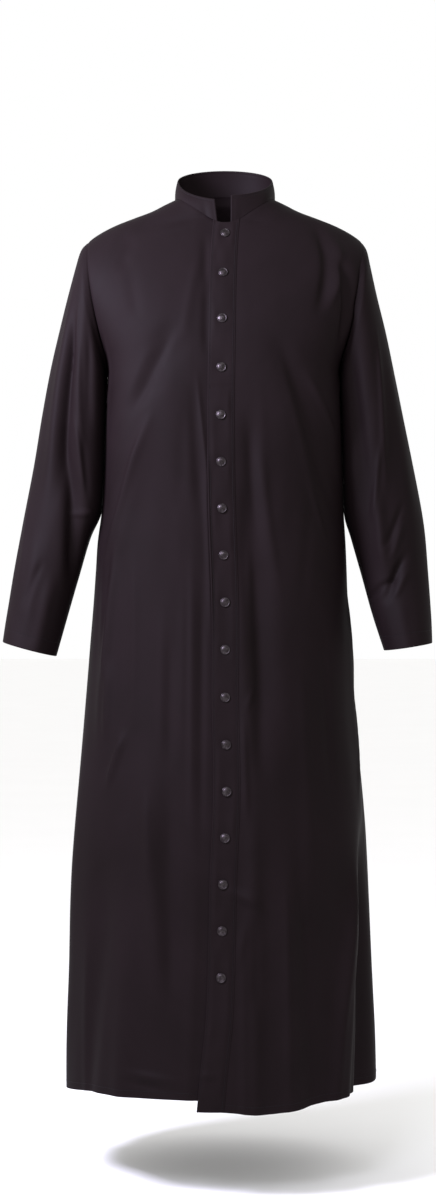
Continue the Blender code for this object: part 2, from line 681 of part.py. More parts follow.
def cut_end(points, end, inner, share):
    """Move a grid's end column to this share of the way from the column beside it."""
    points[:, end] = points[:, inner] + (points[:, end] - points[:, inner]) * share[:, None]


def make_collar(left, right, cloth):
    """The standing collar, open at the front. Its columns stand on those of the panels."""
    back = np.linspace(math.pi / 2, 3 * math.pi / 2, BACK_NECK_COLUMNS + 1)
    front_columns = slice(1, 2 + NECK_COLUMNS)
    left_front = left[0, front_columns, 0]
    right_front = right[0, front_columns, 0][::-1] + 2 * math.pi
    columns = np.concatenate([left_front, back, right_front])
    angle, lift = np.meshgrid(columns, np.linspace(0, 1, COLLAR_ROWS + 1))
    outer = collar_point(angle, lift)
    round_step = collar_point(angle + STEP, lift) - collar_point(angle - STEP, lift)
    rise = collar_point(angle, lift + STEP) - collar_point(angle, lift - STEP)
    inner = outer - COLLAR_CLOTH * unit(np.cross(round_step, rise))
    for end, beside, base_x, rim_x in zip((-1, 0), (-2, 1), NOTCH_BASE, NOTCH_RIM):
        across = base_x + (rim_x - base_x) * lift[:, 0]
        share = (across - outer[:, beside, 0]) / (outer[:, end, 0] - outer[:, beside, 0])
        cut_end(outer, end, beside, share)
        cut_end(inner, end, beside, share)
    wall("collar", outer, inner, cloth)


# Half of a button's section, from the middle of its back round its rim to the middle of its dome
ButtonRing = namedtuple("ButtonRing", "radius rise")
BUTTON_SECTION = (
    ButtonRing(0.0, 0.0),
    ButtonRing(BUTTON_RADIUS - 0.0006, 0.0),
    ButtonRing(BUTTON_RADIUS, 0.0006),
    ButtonRing(BUTTON_RADIUS - 0.0004, 0.0014),
    ButtonRing(0.0045, 0.0024),
    ButtonRing(0.0, 0.0028),
)


def make_buttons(metal):
    """The row of domed snap buttons, each a turned solid lying just clear of the placket."""
    angle = angle_at(read(FRONT_LINE, "across", BUTTON_HEIGHTS), BUTTON_HEIGHTS)
    seats = body_shell(angle, BUTTON_HEIGHTS, SEAM_GAP + PLACKET_CLOTH + BUTTON_GAP + 0 * angle)
    normals = body_normal(angle, BUTTON_HEIGHTS)
    for number, (seat, normal) in enumerate(zip(seats, normals), start=1):
        work = bmesh.new()
        ring = [work.verts.new((spot.radius, 0.0, spot.rise)) for spot in BUTTON_SECTION]
        edges = [work.edges.new(ends) for ends in zip(ring, ring[1:])]
        bmesh.ops.spin(work, geom=ring + edges, axis=(0, 0, 1), cent=(0, 0, 0),
                       angle=2 * math.pi, steps=BUTTON_SIDES, use_merge=True)
        bmesh.ops.remove_doubles(work, verts=work.verts, dist=1e-6)
        name = f"button_{number:02d}"
        mesh = bpy.data.meshes.new(name)
        work.to_mesh(mesh)
        work.free()
        button = place_mesh(name, mesh, metal)
        button.rotation_euler = Vector(normal).to_track_quat("Z", "Y").to_euler()
        button.location = seat


def finish(name, colour, roughness, metallic=0.0):
    """A Principled material; the colour is linear."""
    made = bpy.data.materials.new(name)
    made.use_nodes = True
    shader = made.node_tree.nodes["Principled BSDF"]
    shader.inputs["Base Color"].default_value = (*colour, 1.0)
    shader.inputs["Roughness"].default_value = roughness
    shader.inputs["Metallic"].default_value = metallic
    return made


def main():
    for made in list(bpy.data.objects):
        bpy.data.objects.remove(made, do_unlink=True)
    cloth = finish("black_twill", (0.017, 0.014, 0.016), 0.75)
    left, right = make_fronts(cloth)
    make_back(cloth)
    make_sleeve("sleeve_left", SLEEVE_LEFT, SLEEVE_LEFT_FOLDS, 1, cloth)
    make_sleeve("sleeve_right", SLEEVE_RIGHT, SLEEVE_RIGHT_FOLDS, -1, cloth)
    make_collar(left, right, cloth)
    make_buttons(finish("gunmetal", (0.10, 0.085, 0.09), 0.35, 1.0))


main()
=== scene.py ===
"""Looks of a single-breasted clerical cassock in its worn form.

Metres, +Z up. The front faces -Y and the wearer's left is +X. The origin is the middle of the neck
base. The torso and skirt are one surface: a place on it is a girth angle (0 is the middle of the
front, 90 degrees the wearer's left side, 180 the middle of the back) and a height.
"""

import logging
import math
from collections.abc import Callable
from dataclasses import dataclass, field
from enum import Enum
from typing import NamedTuple

import bmesh
import bpy
import numpy as np
from bpy.types import ID, Material, Node, NodeSocket, NodeTree, Object
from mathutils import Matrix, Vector


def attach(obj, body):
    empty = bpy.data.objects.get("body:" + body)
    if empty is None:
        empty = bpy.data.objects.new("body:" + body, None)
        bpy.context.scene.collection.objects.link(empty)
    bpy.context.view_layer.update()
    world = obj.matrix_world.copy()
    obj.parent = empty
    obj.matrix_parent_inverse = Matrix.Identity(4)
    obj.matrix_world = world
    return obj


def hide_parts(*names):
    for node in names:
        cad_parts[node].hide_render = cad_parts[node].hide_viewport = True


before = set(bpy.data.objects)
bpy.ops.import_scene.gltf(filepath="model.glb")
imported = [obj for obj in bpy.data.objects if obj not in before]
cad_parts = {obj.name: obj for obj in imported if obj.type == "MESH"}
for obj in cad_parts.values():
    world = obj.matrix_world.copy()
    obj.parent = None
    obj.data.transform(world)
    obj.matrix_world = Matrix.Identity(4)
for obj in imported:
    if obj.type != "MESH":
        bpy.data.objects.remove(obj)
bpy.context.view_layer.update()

LOG = logging.getLogger("cassock")
BODY = "root"
QUARTER = math.pi / 2
CLOTH_MAP = "cloth"
SHARP_ANGLE = 50.0

Array = np.ndarray
Pair = tuple[float, float]

# Points of a line on the cloth, or of a grid, and the outward normals there
Line = tuple[Array, Array]

# Layers of cloth and the gaps between them
CLOTH = 0.0015
COLLAR_CLOTH = 0.0024
PLACKET_CLOTH = 0.0012
SEAM_GAP = 0.0003
LAYER_GAP = 0.0004
BUTTON_GAP = 0.0005

# Depth of a seam's groove and of the stitches over a hem, and the cloth turned up inside it
SEAM_DEPTH = 0.0007
SEAM_HALF_WIDTH = 0.0022
STITCH_DEPTH = 0.00022
STITCH_HALF_WIDTH = 0.0012
TURNED_CLOTH = 0.0008
TURN_FADE = 0.002
HEM_FOLD = 0.010
EDGE_RADIUS = 0.0014

# A small step for the slope of a surface
STEP = 1e-4

# Distances from an edge at which a grid has extra lines, so that the edge can be rounded
EDGE_LINES = (0.0004, 0.0009, 0.0016, 0.0028, 0.0045)
LEAST_LINE_GAP = 0.0002

# Rows at each end of the placket that its stitch lines leave free
LINE_END_ROWS = 3


class Side(Enum):
    """The half of the body that a piece belongs to; its value is the sign of X there."""

    LEFT = 1
    RIGHT = -1


class Closing(Enum):
    """How the first and last columns of a wall lie: apart, or joined into a tube."""

    PANEL = "panel"
    TUBE = "tube"


class Profile(NamedTuple):
    """Depth of a level section before and behind the origin, and how square it is."""

    height: float
    front: float
    back: float
    squareness: float


class Width(NamedTuple):
    """Half-widths on the wearer's right and left."""

    height: float
    right: float
    left: float


class Reach(NamedTuple):
    """Distance of the shoulder seam from the middle."""

    height: float
    reach: float


class ButtonHeight(NamedTuple):
    """Height of one of the buttons, counted from the neck."""

    number: int
    height: float


class FrontLine(NamedTuple):
    """Sideways place of the line of buttons."""

    height: float
    across: float


class Hem(NamedTuple):
    """Height of the hem at a girth angle in degrees."""

    angle: float
    height: float


class Fold(NamedTuple):
    """A soft ridge, or a trough where the depth is negative, from one place to another."""

    from_angle: float
    from_height: float
    to_angle: float
    to_height: float
    half_width: float
    depth: float


class Dent(NamedTuple):
    """A short crease: its middle, half-length, half-width, turn from level and depth."""

    angle: float
    height: float
    half_length: float
    half_width: float
    turn: float
    depth: float


class Ring(NamedTuple):
    """A sleeve's section: outer and inner points, forward offset, half-depth, bow, inner squareness."""

    outer_x: float
    outer_z: float
    inner_x: float
    inner_z: float
    forward: float
    half_depth: float
    bow: float
    squareness: float


def make_table(kind: type, *values: tuple) -> tuple:
    """A table whose rows are named tuples of one kind."""
    return tuple(kind(*row) for row in values)


PROFILE = make_table(
    Profile,
    (0.030, 0.058, 0.060, 2.00),
    (0.000, 0.062, 0.068, 2.00),
    (-0.045, 0.067, 0.088, 2.05),
    (-0.070, 0.077, 0.097, 2.15),
    (-0.100, 0.090, 0.106, 2.25),
    (-0.140, 0.106, 0.115, 2.45),
    (-0.190, 0.121, 0.122, 2.70),
    (-0.240, 0.130, 0.124, 2.95),
    (-0.280, 0.134, 0.123, 3.10),
    (-0.340, 0.135, 0.118, 3.05),
    (-0.400, 0.134, 0.112, 2.90),
    (-0.450, 0.132, 0.108, 2.75),
    (-0.500, 0.131, 0.107, 2.60),
    (-0.545, 0.131, 0.109, 2.50),
    (-0.640, 0.134, 0.120, 2.40),
    (-0.735, 0.142, 0.133, 2.25),
    (-0.830, 0.152, 0.143, 2.20),
    (-0.925, 0.162, 0.150, 2.20),
    (-1.020, 0.173, 0.159, 2.15),
    (-1.120, 0.184, 0.169, 2.10),
    (-1.215, 0.195, 0.180, 2.10),
    (-1.310, 0.207, 0.192, 2.10),
    (-1.430, 0.222, 0.205, 2.10),
)
SIDES = make_table(
    Width,
    (-0.260, 0.1865, 0.1805),
    (-0.310, 0.1885, 0.1825),
    (-0.380, 0.1915, 0.1855),
    (-0.430, 0.1933, 0.1872),
    (-0.500, 0.1975, 0.1895),
    (-0.545, 0.2035, 0.1925),
    (-0.590, 0.2065, 0.1945),
    (-0.640, 0.2100, 0.1955),
    (-0.735, 0.2180, 0.2020),
    (-0.830, 0.2260, 0.2085),
    (-0.925, 0.2335, 0.2170),
    (-1.020, 0.2400, 0.2240),
    (-1.120, 0.2450, 0.2300),
    (-1.215, 0.2470, 0.2350),
    (-1.310, 0.2500, 0.2395),
    (-1.430, 0.2510, 0.2410),
)
ARMHOLE = make_table(
    Width,
    (-0.067, 0.2183, 0.2183),
    (-0.100, 0.2172, 0.2160),
    (-0.160, 0.2105, 0.2075),
    (-0.215, 0.1995, 0.1960),
    (-0.250, 0.1915, 0.1865),
    (-0.280, 0.1870, 0.1810),
)
SHOULDER = make_table(
    Reach,
    (0.030, 0.076),
    (0.000, 0.080),
    (-0.010, 0.100),
    (-0.020, 0.120),
    (-0.030, 0.147),
    (-0.040, 0.173),
    (-0.050, 0.1935),
    (-0.060, 0.2095),
    (-0.067, 0.2183),
)
BUTTONS = make_table(
    ButtonHeight,
    (1, -0.0645),
    (2, -0.1301),
    (4, -0.2800),
    (8, -0.5691),
    (12, -0.8600),
    (17, -1.2098),
)
FRONT_LINE = make_table(
    FrontLine,
    (-0.040, 0.0020),
    (-0.065, -0.0002),
    (-0.130, -0.0034),
    (-0.205, -0.0050),
    (-0.400, -0.0067),
    (-0.500, -0.0050),
    (-0.640, -0.0004),
    (-0.790, -0.0002),
    (-0.930, 0.0020),
    (-1.070, -0.0036),
    (-1.210, -0.0067),
    (-1.280, -0.0100),
    (-1.340, -0.0165),
    (-1.420, -0.0240),
)
HEM_LEFT_FRONT = make_table(
    Hem,
    (-12, -1.405),
    (3, -1.409),
    (13, -1.412),
    (28, -1.408),
    (47, -1.399),
    (70, -1.399),
    (90, -1.398),
)
HEM_BACK = make_table(
    Hem,
    (90, -1.398),
    (135, -1.402),
    (180, -1.405),
    (225, -1.410),
    (270, -1.413),
)
HEM_RIGHT_FRONT = make_table(
    Hem,
    (-90, -1.413),
    (-75, -1.406),
    (-60, -1.398),
    (-30, -1.392),
    (8, -1.391),
)

# The large folds, which the solids have too
MAIN_FOLDS = make_table(
    Fold,
    (-33, -0.19, -54, -0.36, 0.015, -0.0045),
    (-42, -0.33, -68, -0.62, 0.015, 0.0045),
    (-70, -0.52, -64, -0.92, 0.015, 0.0045),
    (-42, -0.84, -26, -1.32, 0.018, 0.0060),
    (-31, -0.90, -21, -1.28, 0.013, -0.0055),
    (-56, -0.98, -66, -1.60, 0.026, -0.0095),
    (-44, -1.08, -42, -1.60, 0.020, 0.0050),
    (-78, -0.80, -79, -1.60, 0.022, 0.0050),
    (30, -0.21, 67, -0.52, 0.015, -0.0065),
    (15, -0.36, 20, -0.96, 0.015, -0.0065),
    (11, -0.56, 15.5, -0.96, 0.012, 0.0045),
    (15, -0.86, 10, -1.60, 0.013, 0.0050),
    (30, -0.98, 26, -1.60, 0.020, 0.0065),
    (69, -0.98, 41, -1.60, 0.025, 0.0110),
    (84, -0.94, 60, -1.60, 0.030, -0.0280),
    (83, -0.58, 78, -0.98, 0.016, 0.0030),
    (180, -0.05, 180, -0.32, 0.032, -0.0040),
    (131, -0.15, 117, -0.44, 0.017, -0.0055),
    (229, -0.16, 242, -0.41, 0.017, -0.0050),
    (158, -0.36, 148, -0.66, 0.018, -0.0040),
    (203, -0.38, 214, -0.61, 0.018, -0.0045),
    (101, -0.74, 105, -1.60, 0.024, 0.0095),
    (123, -0.88, 127, -1.60, 0.022, -0.0085),
    (146, -0.70, 144, -1.60, 0.024, 0.0100),
    (165, -0.82, 168, -1.60, 0.022, -0.0095),
    (188, -0.64, 186, -1.60, 0.024, 0.0105),
    (207, -0.86, 210, -1.60, 0.022, -0.0085),
    (230, -0.74, 226, -1.60, 0.023, 0.0095),
    (250, -0.92, 253, -1.60, 0.022, -0.0080),
)

# The finer creases, too narrow for the solids
FINE_FOLDS = make_table(
    Fold,
    # right of the chest, from the neck down to the waist
    (-30, -0.200, -57, -0.380, 0.008, -0.0018),
    (-40, -0.225, -57, -0.345, 0.010, 0.0020),
    (-29, -0.225, -47, -0.345, 0.018, -0.0022),
    (-24, -0.08, -27, -0.25, 0.007, 0.0012),
    (-41, -0.335, -73, -0.600, 0.0066, 0.0056),
    (-22.5, -0.06, -14.8, -0.16, 0.006, -0.0022),
    (-15, -0.13, -12.1, -0.27, 0.006, -0.0022),
    (-18.5, -0.275, -9.5, -0.50, 0.0036, 0.0018),
    (-13.5, -0.40, -8.5, -0.72, 0.0045, 0.0034),
    (-21.5, -0.295, -16, -0.53, 0.0080, -0.0026),
    (-24, -0.30, -30, -0.52, 0.009, -0.0010),
    (-62, -0.10, -50, -0.21, 0.008, -0.0018),
    (-69, -0.060, -62, -0.130, 0.007, -0.0030),
    (-68, -0.20, -74, -0.41, 0.004, 0.0022),
    # right front of the skirt
    (-62, -0.54, -66, -0.79, 0.0065, 0.0060),
    (-63, -0.72, -61.5, -0.87, 0.0065, 0.0050),
    (-53.5, -0.55, -49, -0.85, 0.006, 0.0018),
    (-38, -0.62, -34, -0.90, 0.007, 0.0014),
    (-34, -0.68, -29.5, -0.92, 0.009, -0.0026),
    (-27, -0.58, -24, -0.90, 0.007, 0.0012),
    (-22.3, -0.54, -16.8, -1.04, 0.0055, 0.0024),
    (-15.8, -0.56, -12, -1.06, 0.0055, -0.0024),
    (-52.3, -0.835, -59.5, -0.935, 0.0060, 0.0056),
    (-40, -0.92, -34.5, -1.08, 0.007, 0.0028),
    (-33, -0.98, -23.5, -1.27, 0.009, -0.0030),
    (-66, -1.10, -63, -1.60, 0.010, 0.0030),
    (-14, -1.00, -15, -1.60, 0.009, 0.0016),
    # left of the chest
    (75.5, -0.025, 52.5, -0.205, 0.0075, -0.0074),
    (75.5, -0.045, 57.5, -0.195, 0.0060, 0.0056),
    (69, -0.070, 65.5, -0.250, 0.0080, -0.0082),
    (76, -0.090, 70, -0.20, 0.006, -0.0032),
    (38, -0.235, 72, -0.50, 0.016, -0.0040),
    (30.5, -0.225, 57, -0.53, 0.007, 0.0016),
    (45, -0.275, 67, -0.395, 0.006, 0.0026),
    (49, -0.452, 60.5, -0.55, 0.004, 0.0018),
    (22, -0.30, 25, -0.50, 0.008, 0.0010),
    (52, -0.46, 46, -0.66, 0.009, -0.0012),
    (18.5, -0.375, 33.5, -0.645, 0.009, 0.0036),
    (14, -0.335, 24.5, -0.58, 0.010, -0.0040),
    (15.8, -0.50, 17.8, -0.86, 0.008, 0.0030),
    # left front of the skirt
    (23.5, -0.50, 25.5, -0.86, 0.016, -0.0052),
    (10, -0.80, 11.1, -0.99, 0.005, 0.0030),
    (8, -1.10, 6.8, -1.60, 0.006, 0.0026),
    (14, -1.10, 13, -1.28, 0.008, -0.0028),
    (29, -1.04, 24, -1.47, 0.005, 0.0024),
    (68, -1.02, 48, -1.32, 0.0090, 0.0055),
    (54.5, -1.20, 40, -1.50, 0.0090, 0.0055),
    (66, -1.14, 50, -1.50, 0.0120, -0.0060),
    (80, -0.61, 86, -0.80, 0.006, 0.0024),
    (87, -0.77, 75, -0.97, 0.006, 0.0022),
    (44, -0.72, 42, -1.10, 0.010, 0.0018),
    (36, -0.90, 35, -1.60, 0.010, -0.0022),
    (58, -0.66, 55, -0.98, 0.009, -0.0020),
    # back, from the shoulders down to the hem
    (150, -0.03, 138, -0.21, 0.009, -0.0020),
    (211, -0.04, 224, -0.20, 0.009, -0.0022),
    (126, -0.18, 116, -0.36, 0.006, -0.0026),
    (236, -0.19, 243, -0.34, 0.006, -0.0022),
    (170, -0.30, 165, -0.52, 0.008, 0.0018),
    (192, -0.34, 199, -0.58, 0.008, 0.0020),
    (136, -0.56, 138, -0.98, 0.008, 0.0022),
    (176, -0.60, 178, -1.04, 0.008, -0.0020),
    (218, -0.58, 217, -0.94, 0.008, 0.0022),
    (112, -0.98, 114, -1.60, 0.009, 0.0024),
    (156, -1.00, 155, -1.60, 0.008, -0.0024),
    (198, -1.02, 197, -1.60, 0.008, -0.0022),
    (240, -1.00, 239, -1.60, 0.009, 0.0026),
    (263, -0.84, 262, -1.60, 0.010, 0.0022),
)
SHORT_CREASES = make_table(
    Dent,
    (-45, -0.040, 0.030, 0.0045, 14, -0.0022),
    (-50, -0.055, 0.024, 0.0040, 18, 0.0014),
    (40, -0.044, 0.022, 0.0045, -12, -0.0014),
    (9.5, -1.091, 0.022, 0.0080, -29, 0.0050),
    (7.5, -1.160, 0.028, 0.0060, 80, 0.0026),
    (-31, -1.360, 0.034, 0.0060, -6, 0.0038),
    (-31, -1.374, 0.030, 0.0050, -6, -0.0024),
    (-7, -1.354, 0.014, 0.0050, 0, 0.0026),
    (14.5, -0.790, 0.014, 0.0040, 70, 0.0018),
    (76, -0.300, 0.020, 0.0060, 46, 0.0022),
    (-76, -0.310, 0.020, 0.0060, -44, 0.0022),
    (104, -0.300, 0.022, 0.0060, -42, -0.0020),
    (256, -0.306, 0.022, 0.0060, 40, -0.0020),
    (180, 0.002, 0.030, 0.0050, 0, -0.0014),
)

# The sleeves' rings, and their folds: first the large ones, which the solids have too, and then the
# finer ones. A fold's angle is a turn round the sleeve (0 its outer line, 90 its front, 180 its
# inner line) and its height is a ring's number, counted from 0.
SLEEVE_RIGHT = make_table(
    Ring,
    (0.2183, -0.0670, 0.1870, -0.2800, 0.000, 0.0710, 1.00, 2.00),
    (0.2295, -0.0800, 0.1878, -0.2850, 0.000, 0.0745, 0.95, 2.10),
    (0.2380, -0.1064, 0.1872, -0.2940, 0.000, 0.0770, 0.80, 2.50),
    (0.2505, -0.1529, 0.1868, -0.3130, 0.000, 0.0785, 0.55, 2.90),
    (0.2640, -0.2090, 0.1876, -0.3430, 0.000, 0.0780, 0.30, 3.20),
    (0.2785, -0.2696, 0.1890, -0.3824, 0.000, 0.0765, 0.12, 3.20),
    (0.2920, -0.3416, 0.1908, -0.4304, 0.000, 0.0745, 0.03, 3.20),
    (0.3064, -0.4298, 0.1960, -0.4944, 0.000, 0.0710, 0.00, 3.10),
    (0.3224, -0.5184, 0.2145, -0.5400, 0.006, 0.0670, 0.00, 2.70),
    (0.3352, -0.5906, 0.2319, -0.6010, 0.018, 0.0610, 0.00, 2.30),
    (0.3438, -0.6542, 0.2488, -0.6630, 0.034, 0.0550, 0.00, 2.10),
    (0.3503, -0.7046, 0.2659, -0.7270, 0.050, 0.0500, 0.00, 2.00),
)
SLEEVE_LEFT = make_table(
    Ring,
    (0.2183, -0.0670, 0.1810, -0.2800, 0.000, 0.0710, 1.00, 2.00),
    (0.2264, -0.0810, 0.1817, -0.2850, 0.000, 0.0745, 0.95, 2.10),
    (0.2322, -0.1064, 0.1812, -0.2940, 0.000, 0.0770, 0.80, 2.30),
    (0.2436, -0.1577, 0.1808, -0.3130, 0.000, 0.0785, 0.55, 2.40),
    (0.2570, -0.2138, 0.1816, -0.3430, 0.000, 0.0780, 0.30, 2.40),
    (0.2708, -0.2776, 0.1830, -0.3824, 0.000, 0.0765, 0.12, 2.40),
    (0.2848, -0.3464, 0.1848, -0.4304, 0.000, 0.0745, 0.03, 2.40),
    (0.3017, -0.4298, 0.1888, -0.4976, 0.000, 0.0710, 0.00, 2.30),
    (0.3168, -0.5184, 0.2006, -0.5400, 0.006, 0.0670, 0.00, 2.20),
    (0.3226, -0.5906, 0.2166, -0.5980, 0.018, 0.0610, 0.00, 2.10),
    (0.3254, -0.6542, 0.2325, -0.6590, 0.034, 0.0550, 0.00, 2.00),
    (0.3263, -0.7060, 0.2506, -0.7180, 0.050, 0.0490, 0.00, 2.00),
)
SLEEVE_RIGHT_FOLDS = make_table(
    Fold,
    (62, 2.2, 120, 7.2, 0.013, 0.0040),
    (64, 2.0, 88, 7.8, 0.016, -0.0080),
    (76, 5.6, 154, 9.6, 0.016, -0.0080),
    (60, 8.0, 84, 10.8, 0.014, 0.0030),
    (215, 5.2, 262, 7.8, 0.014, -0.0045),
    (290, 6.2, 236, 8.8, 0.013, 0.0040),
    # finer
    (66, 2.6, 86, 7.4, 0.014, -0.0065),
    (80, 6.0, 150, 9.3, 0.014, -0.0060),
    (40, 2.0, 64, 8.0, 0.013, 0.0050),
    (64, 2.0, 92, 6.1, 0.0055, 0.0030),
    (86, 5.2, 124, 7.2, 0.0075, 0.0028),
    (108, 5.6, 124, 7.2, 0.0080, -0.0020),
    (100, 2.0, 118, 5.6, 0.010, -0.0020),
    (142, 7.1, 112, 7.6, 0.011, 0.0026),
    (104, 8.8, 108, 11.6, 0.012, 0.0036),
    (84, 8.6, 64, 10.0, 0.007, -0.0022),
    (24, 7.2, 52, 9.6, 0.007, 0.0016),
    (330, 3.0, 300, 7.0, 0.008, -0.0022),
    (238, 6.0, 276, 8.4, 0.006, 0.0024),
    (206, 7.6, 250, 9.4, 0.006, -0.0024),
    (286, 8.4, 262, 10.6, 0.007, 0.0020),
)
SLEEVE_LEFT_FOLDS = make_table(
    Fold,
    (122, 1.4, 114, 8.0, 0.020, -0.0060),
    (92, 6.6, 116, 9.2, 0.012, 0.0045),
    (66, 8.4, 128, 9.9, 0.010, -0.0045),
    (36, 4.0, 50, 8.6, 0.015, 0.0030),
    (222, 5.0, 256, 8.0, 0.014, -0.0045),
    (284, 6.0, 244, 8.6, 0.013, 0.0040),
    # finer
    (116, 2.0, 112, 7.6, 0.018, -0.0040),
    (52, 3.2, 86, 7.4, 0.007, 0.0034),
    (80, 6.0, 116, 7.8, 0.006, 0.0030),
    (98, 6.6, 110, 9.2, 0.009, 0.0030),
    (60, 7.4, 108, 8.5, 0.0065, -0.0030),
    (66, 7.8, 100, 8.8, 0.006, 0.0024),
    (76, 8.6, 114, 9.5, 0.0062, -0.0036),
    (92, 9.1, 170, 9.7, 0.012, -0.0034),
    (70, 8.9, 104, 9.7, 0.007, 0.0024),
    (92, 9.4, 100, 11.6, 0.012, 0.0024),
    (320, 3.2, 296, 7.2, 0.008, -0.0022),
    (240, 5.8, 272, 8.2, 0.006, 0.0024),
    (210, 7.4, 246, 9.2, 0.006, -0.0024),
    (282, 8.2, 258, 10.4, 0.007, 0.0020),
)


def smooth(stops: Array, values: Array, place: Array) -> Array:
    """Values on the curve through the stops: cubic pieces that share their slope at each stop.

    Args:
        stops: places at which the values are known, in any order.
        values: the values there.
        place: where to read the curve; outside the stops it keeps its end values.

    Returns:
        The curve's value at each place.
    """
    order = np.argsort(stops)
    stops = np.asarray(stops, float)[order]
    values = np.asarray(values, float)[order]
    slopes = np.gradient(values, stops)
    place = np.clip(place, stops[0], stops[-1])
    piece = np.clip(np.searchsorted(stops, place) - 1, 0, len(stops) - 2)
    length = stops[piece + 1] - stops[piece]
    t = (place - stops[piece]) / length
    rise = values[piece + 1] - values[piece]
    start = slopes[piece] * length
    end = slopes[piece + 1] * length
    square = 3 * rise - 2 * start - end
    cube = start + end - 2 * rise
    return values[piece] + t * start + t ** 2 * square + t ** 3 * cube


def read(table: tuple, column: str, place: Array) -> Array:
    """One column of a table, as a smooth curve read at each place; its first column is the place."""
    return smooth([row[0] for row in table], [getattr(row, column) for row in table], place)


def by_side(table: tuple[Width, ...], left: Array, height: Array) -> Array:
    """The left half-width where left is true and the right one elsewhere, at each height."""
    return np.where(left, read(table, "left", height), read(table, "right", height))


def ease(t: Array) -> Array:
    """0 up to 0, 1 from 1 on, and a smooth step between."""
    t = np.clip(t, 0.0, 1.0)
    return t * t * (3 - 2 * t)


def bell(distance: Array, half_width: float) -> Array:
    """1 on a line and 0 away from it: e to the power of minus the squared distance in half-widths."""
    return np.exp(-(distance / half_width) ** 2)


def rounding(distance: Array, radius: float) -> Array:
    """How thick a wall is near its edge, from 0 on the edge to 1: a quarter of a circle."""
    t = np.clip(distance / radius, 0, 1)
    return np.sqrt(1 - (1 - t) ** 2)


def unit(vectors: Array) -> Array:
    """Vectors of length one."""
    return vectors / np.linalg.norm(vectors, axis=-1, keepdims=True)


def raised(points: Array, normals: Array, distance: Array | float) -> Array:
    """Points moved out along their normals; a negative distance moves them in."""
    return points + normals * np.broadcast_to(distance, points.shape[:-1])[..., None]


def pair(first: Array, second: Array) -> Array:
    """Two grids of numbers as one grid of pairs."""
    return np.stack(np.broadcast_arrays(first, second), axis=-1).astype(float)


def facing(surface: Callable[[Array, Array], Array], u: Array, v: Array) -> Array:
    """Directions square to a surface: its slope along u crossed with its slope along v."""
    across = surface(u + STEP, v) - surface(u - STEP, v)
    along = surface(u, v + STEP) - surface(u, v - STEP)
    return unit(np.cross(across, along))


def lengths(points: Array, axis: int) -> Array:
    """Length from the grid's first row (axis 0) or column (axis 1) to each point, along the grid."""
    steps = np.linalg.norm(np.diff(points, axis=axis), axis=-1)
    start = np.zeros_like(np.take(steps, [0], axis=axis))
    return np.concatenate([start, np.cumsum(steps, axis=axis)], axis=axis)


def rows_at(distance: Array, wanted: float) -> tuple[Array, Array]:
    """Row and column numbers of the point in each column whose distance is nearest to one wanted."""
    row = np.abs(distance - wanted).argmin(axis=0)
    return row, np.arange(row.size)


def angle_past(angle: Array, degrees: Array | float) -> Array:
    """Angle past a place given in degrees, the short way round, in radians."""
    return (angle - np.radians(degrees) + math.pi) % (2 * math.pi) - math.pi


def folds_at(folds: tuple[Fold, ...], across: Array, along: Array, arc: Array) -> Array:
    """Sum of the folds at each place: a bell across each one, eased in and out along it.

    Args:
        folds: the ridges and troughs.
        across: angle round the piece, in radians.
        along: height, or ring number on a sleeve.
        arc: length of one radian there.

    Returns:
        How far the surface stands out, in metres.
    """
    relief = np.zeros_like(arc)
    for fold in folds:
        t = (along - fold.from_height) / (fold.to_height - fold.from_height)
        middle = fold.from_angle + (fold.to_angle - fold.from_angle) * np.clip(t, 0, 1)
        ridge = bell(angle_past(across, middle) * arc, fold.half_width)
        relief = relief + fold.depth * ridge * ease(t * 3) * ease((1 - t) * 3)
    return relief


def dents_at(dents: tuple[Dent, ...], across: Array, along: Array, arc: Array) -> Array:
    """Sum of the short creases: each is a bell along its own line times one across it.

    Args:
        dents: the creases.
        across: angle round the piece, in radians.
        along: height.
        arc: length of one radian there.

    Returns:
        How far the surface stands out, in metres.
    """
    relief = np.zeros_like(arc)
    for dent in dents:
        x = angle_past(across, dent.angle) * arc
        z = along - dent.height
        cosine, sine = math.cos(math.radians(dent.turn)), math.sin(math.radians(dent.turn))
        length = x * cosine + z * sine
        width = z * cosine - x * sine
        relief = relief + dent.depth * bell(length, dent.half_length) * bell(width, dent.half_width)
    return relief


@dataclass(frozen=True)
class Drift:
    """Slow unevenness of hanging cloth: smooth noise between random values on a lattice.

    Attributes:
        cell: lattice spacing across and along, in metres.
        depth: most that it stands out or in.
        seed: seed of the lattice's values.
        size: number of the lattice's lines each way, after which it repeats.
    """

    cell: tuple[float, float]
    depth: float
    seed: int
    size: int = 64

    def at(self, across: Array, along: Array) -> Array:
        """The noise at each place: the four nearest lattice values, mixed by smooth steps.

        Args:
            across: place across the cloth, in metres.
            along: place along it.

        Returns:
            How far the surface stands out, in metres.
        """
        lattice = np.random.default_rng(self.seed).uniform(-1, 1, (self.size, self.size))
        u = across / self.cell[0]
        v = along / self.cell[1]
        column = np.floor(u).astype(int)
        row = np.floor(v).astype(int)
        right = ease(u - column)

        def level(line: Array) -> Array:
            """The values on one line of the lattice, mixed between two columns."""
            near = lattice[line % self.size, column % self.size]
            beside = lattice[line % self.size, (column + 1) % self.size]
            return near + (beside - near) * right

        return self.depth * (level(row) + (level(row + 1) - level(row)) * ease(v - row))


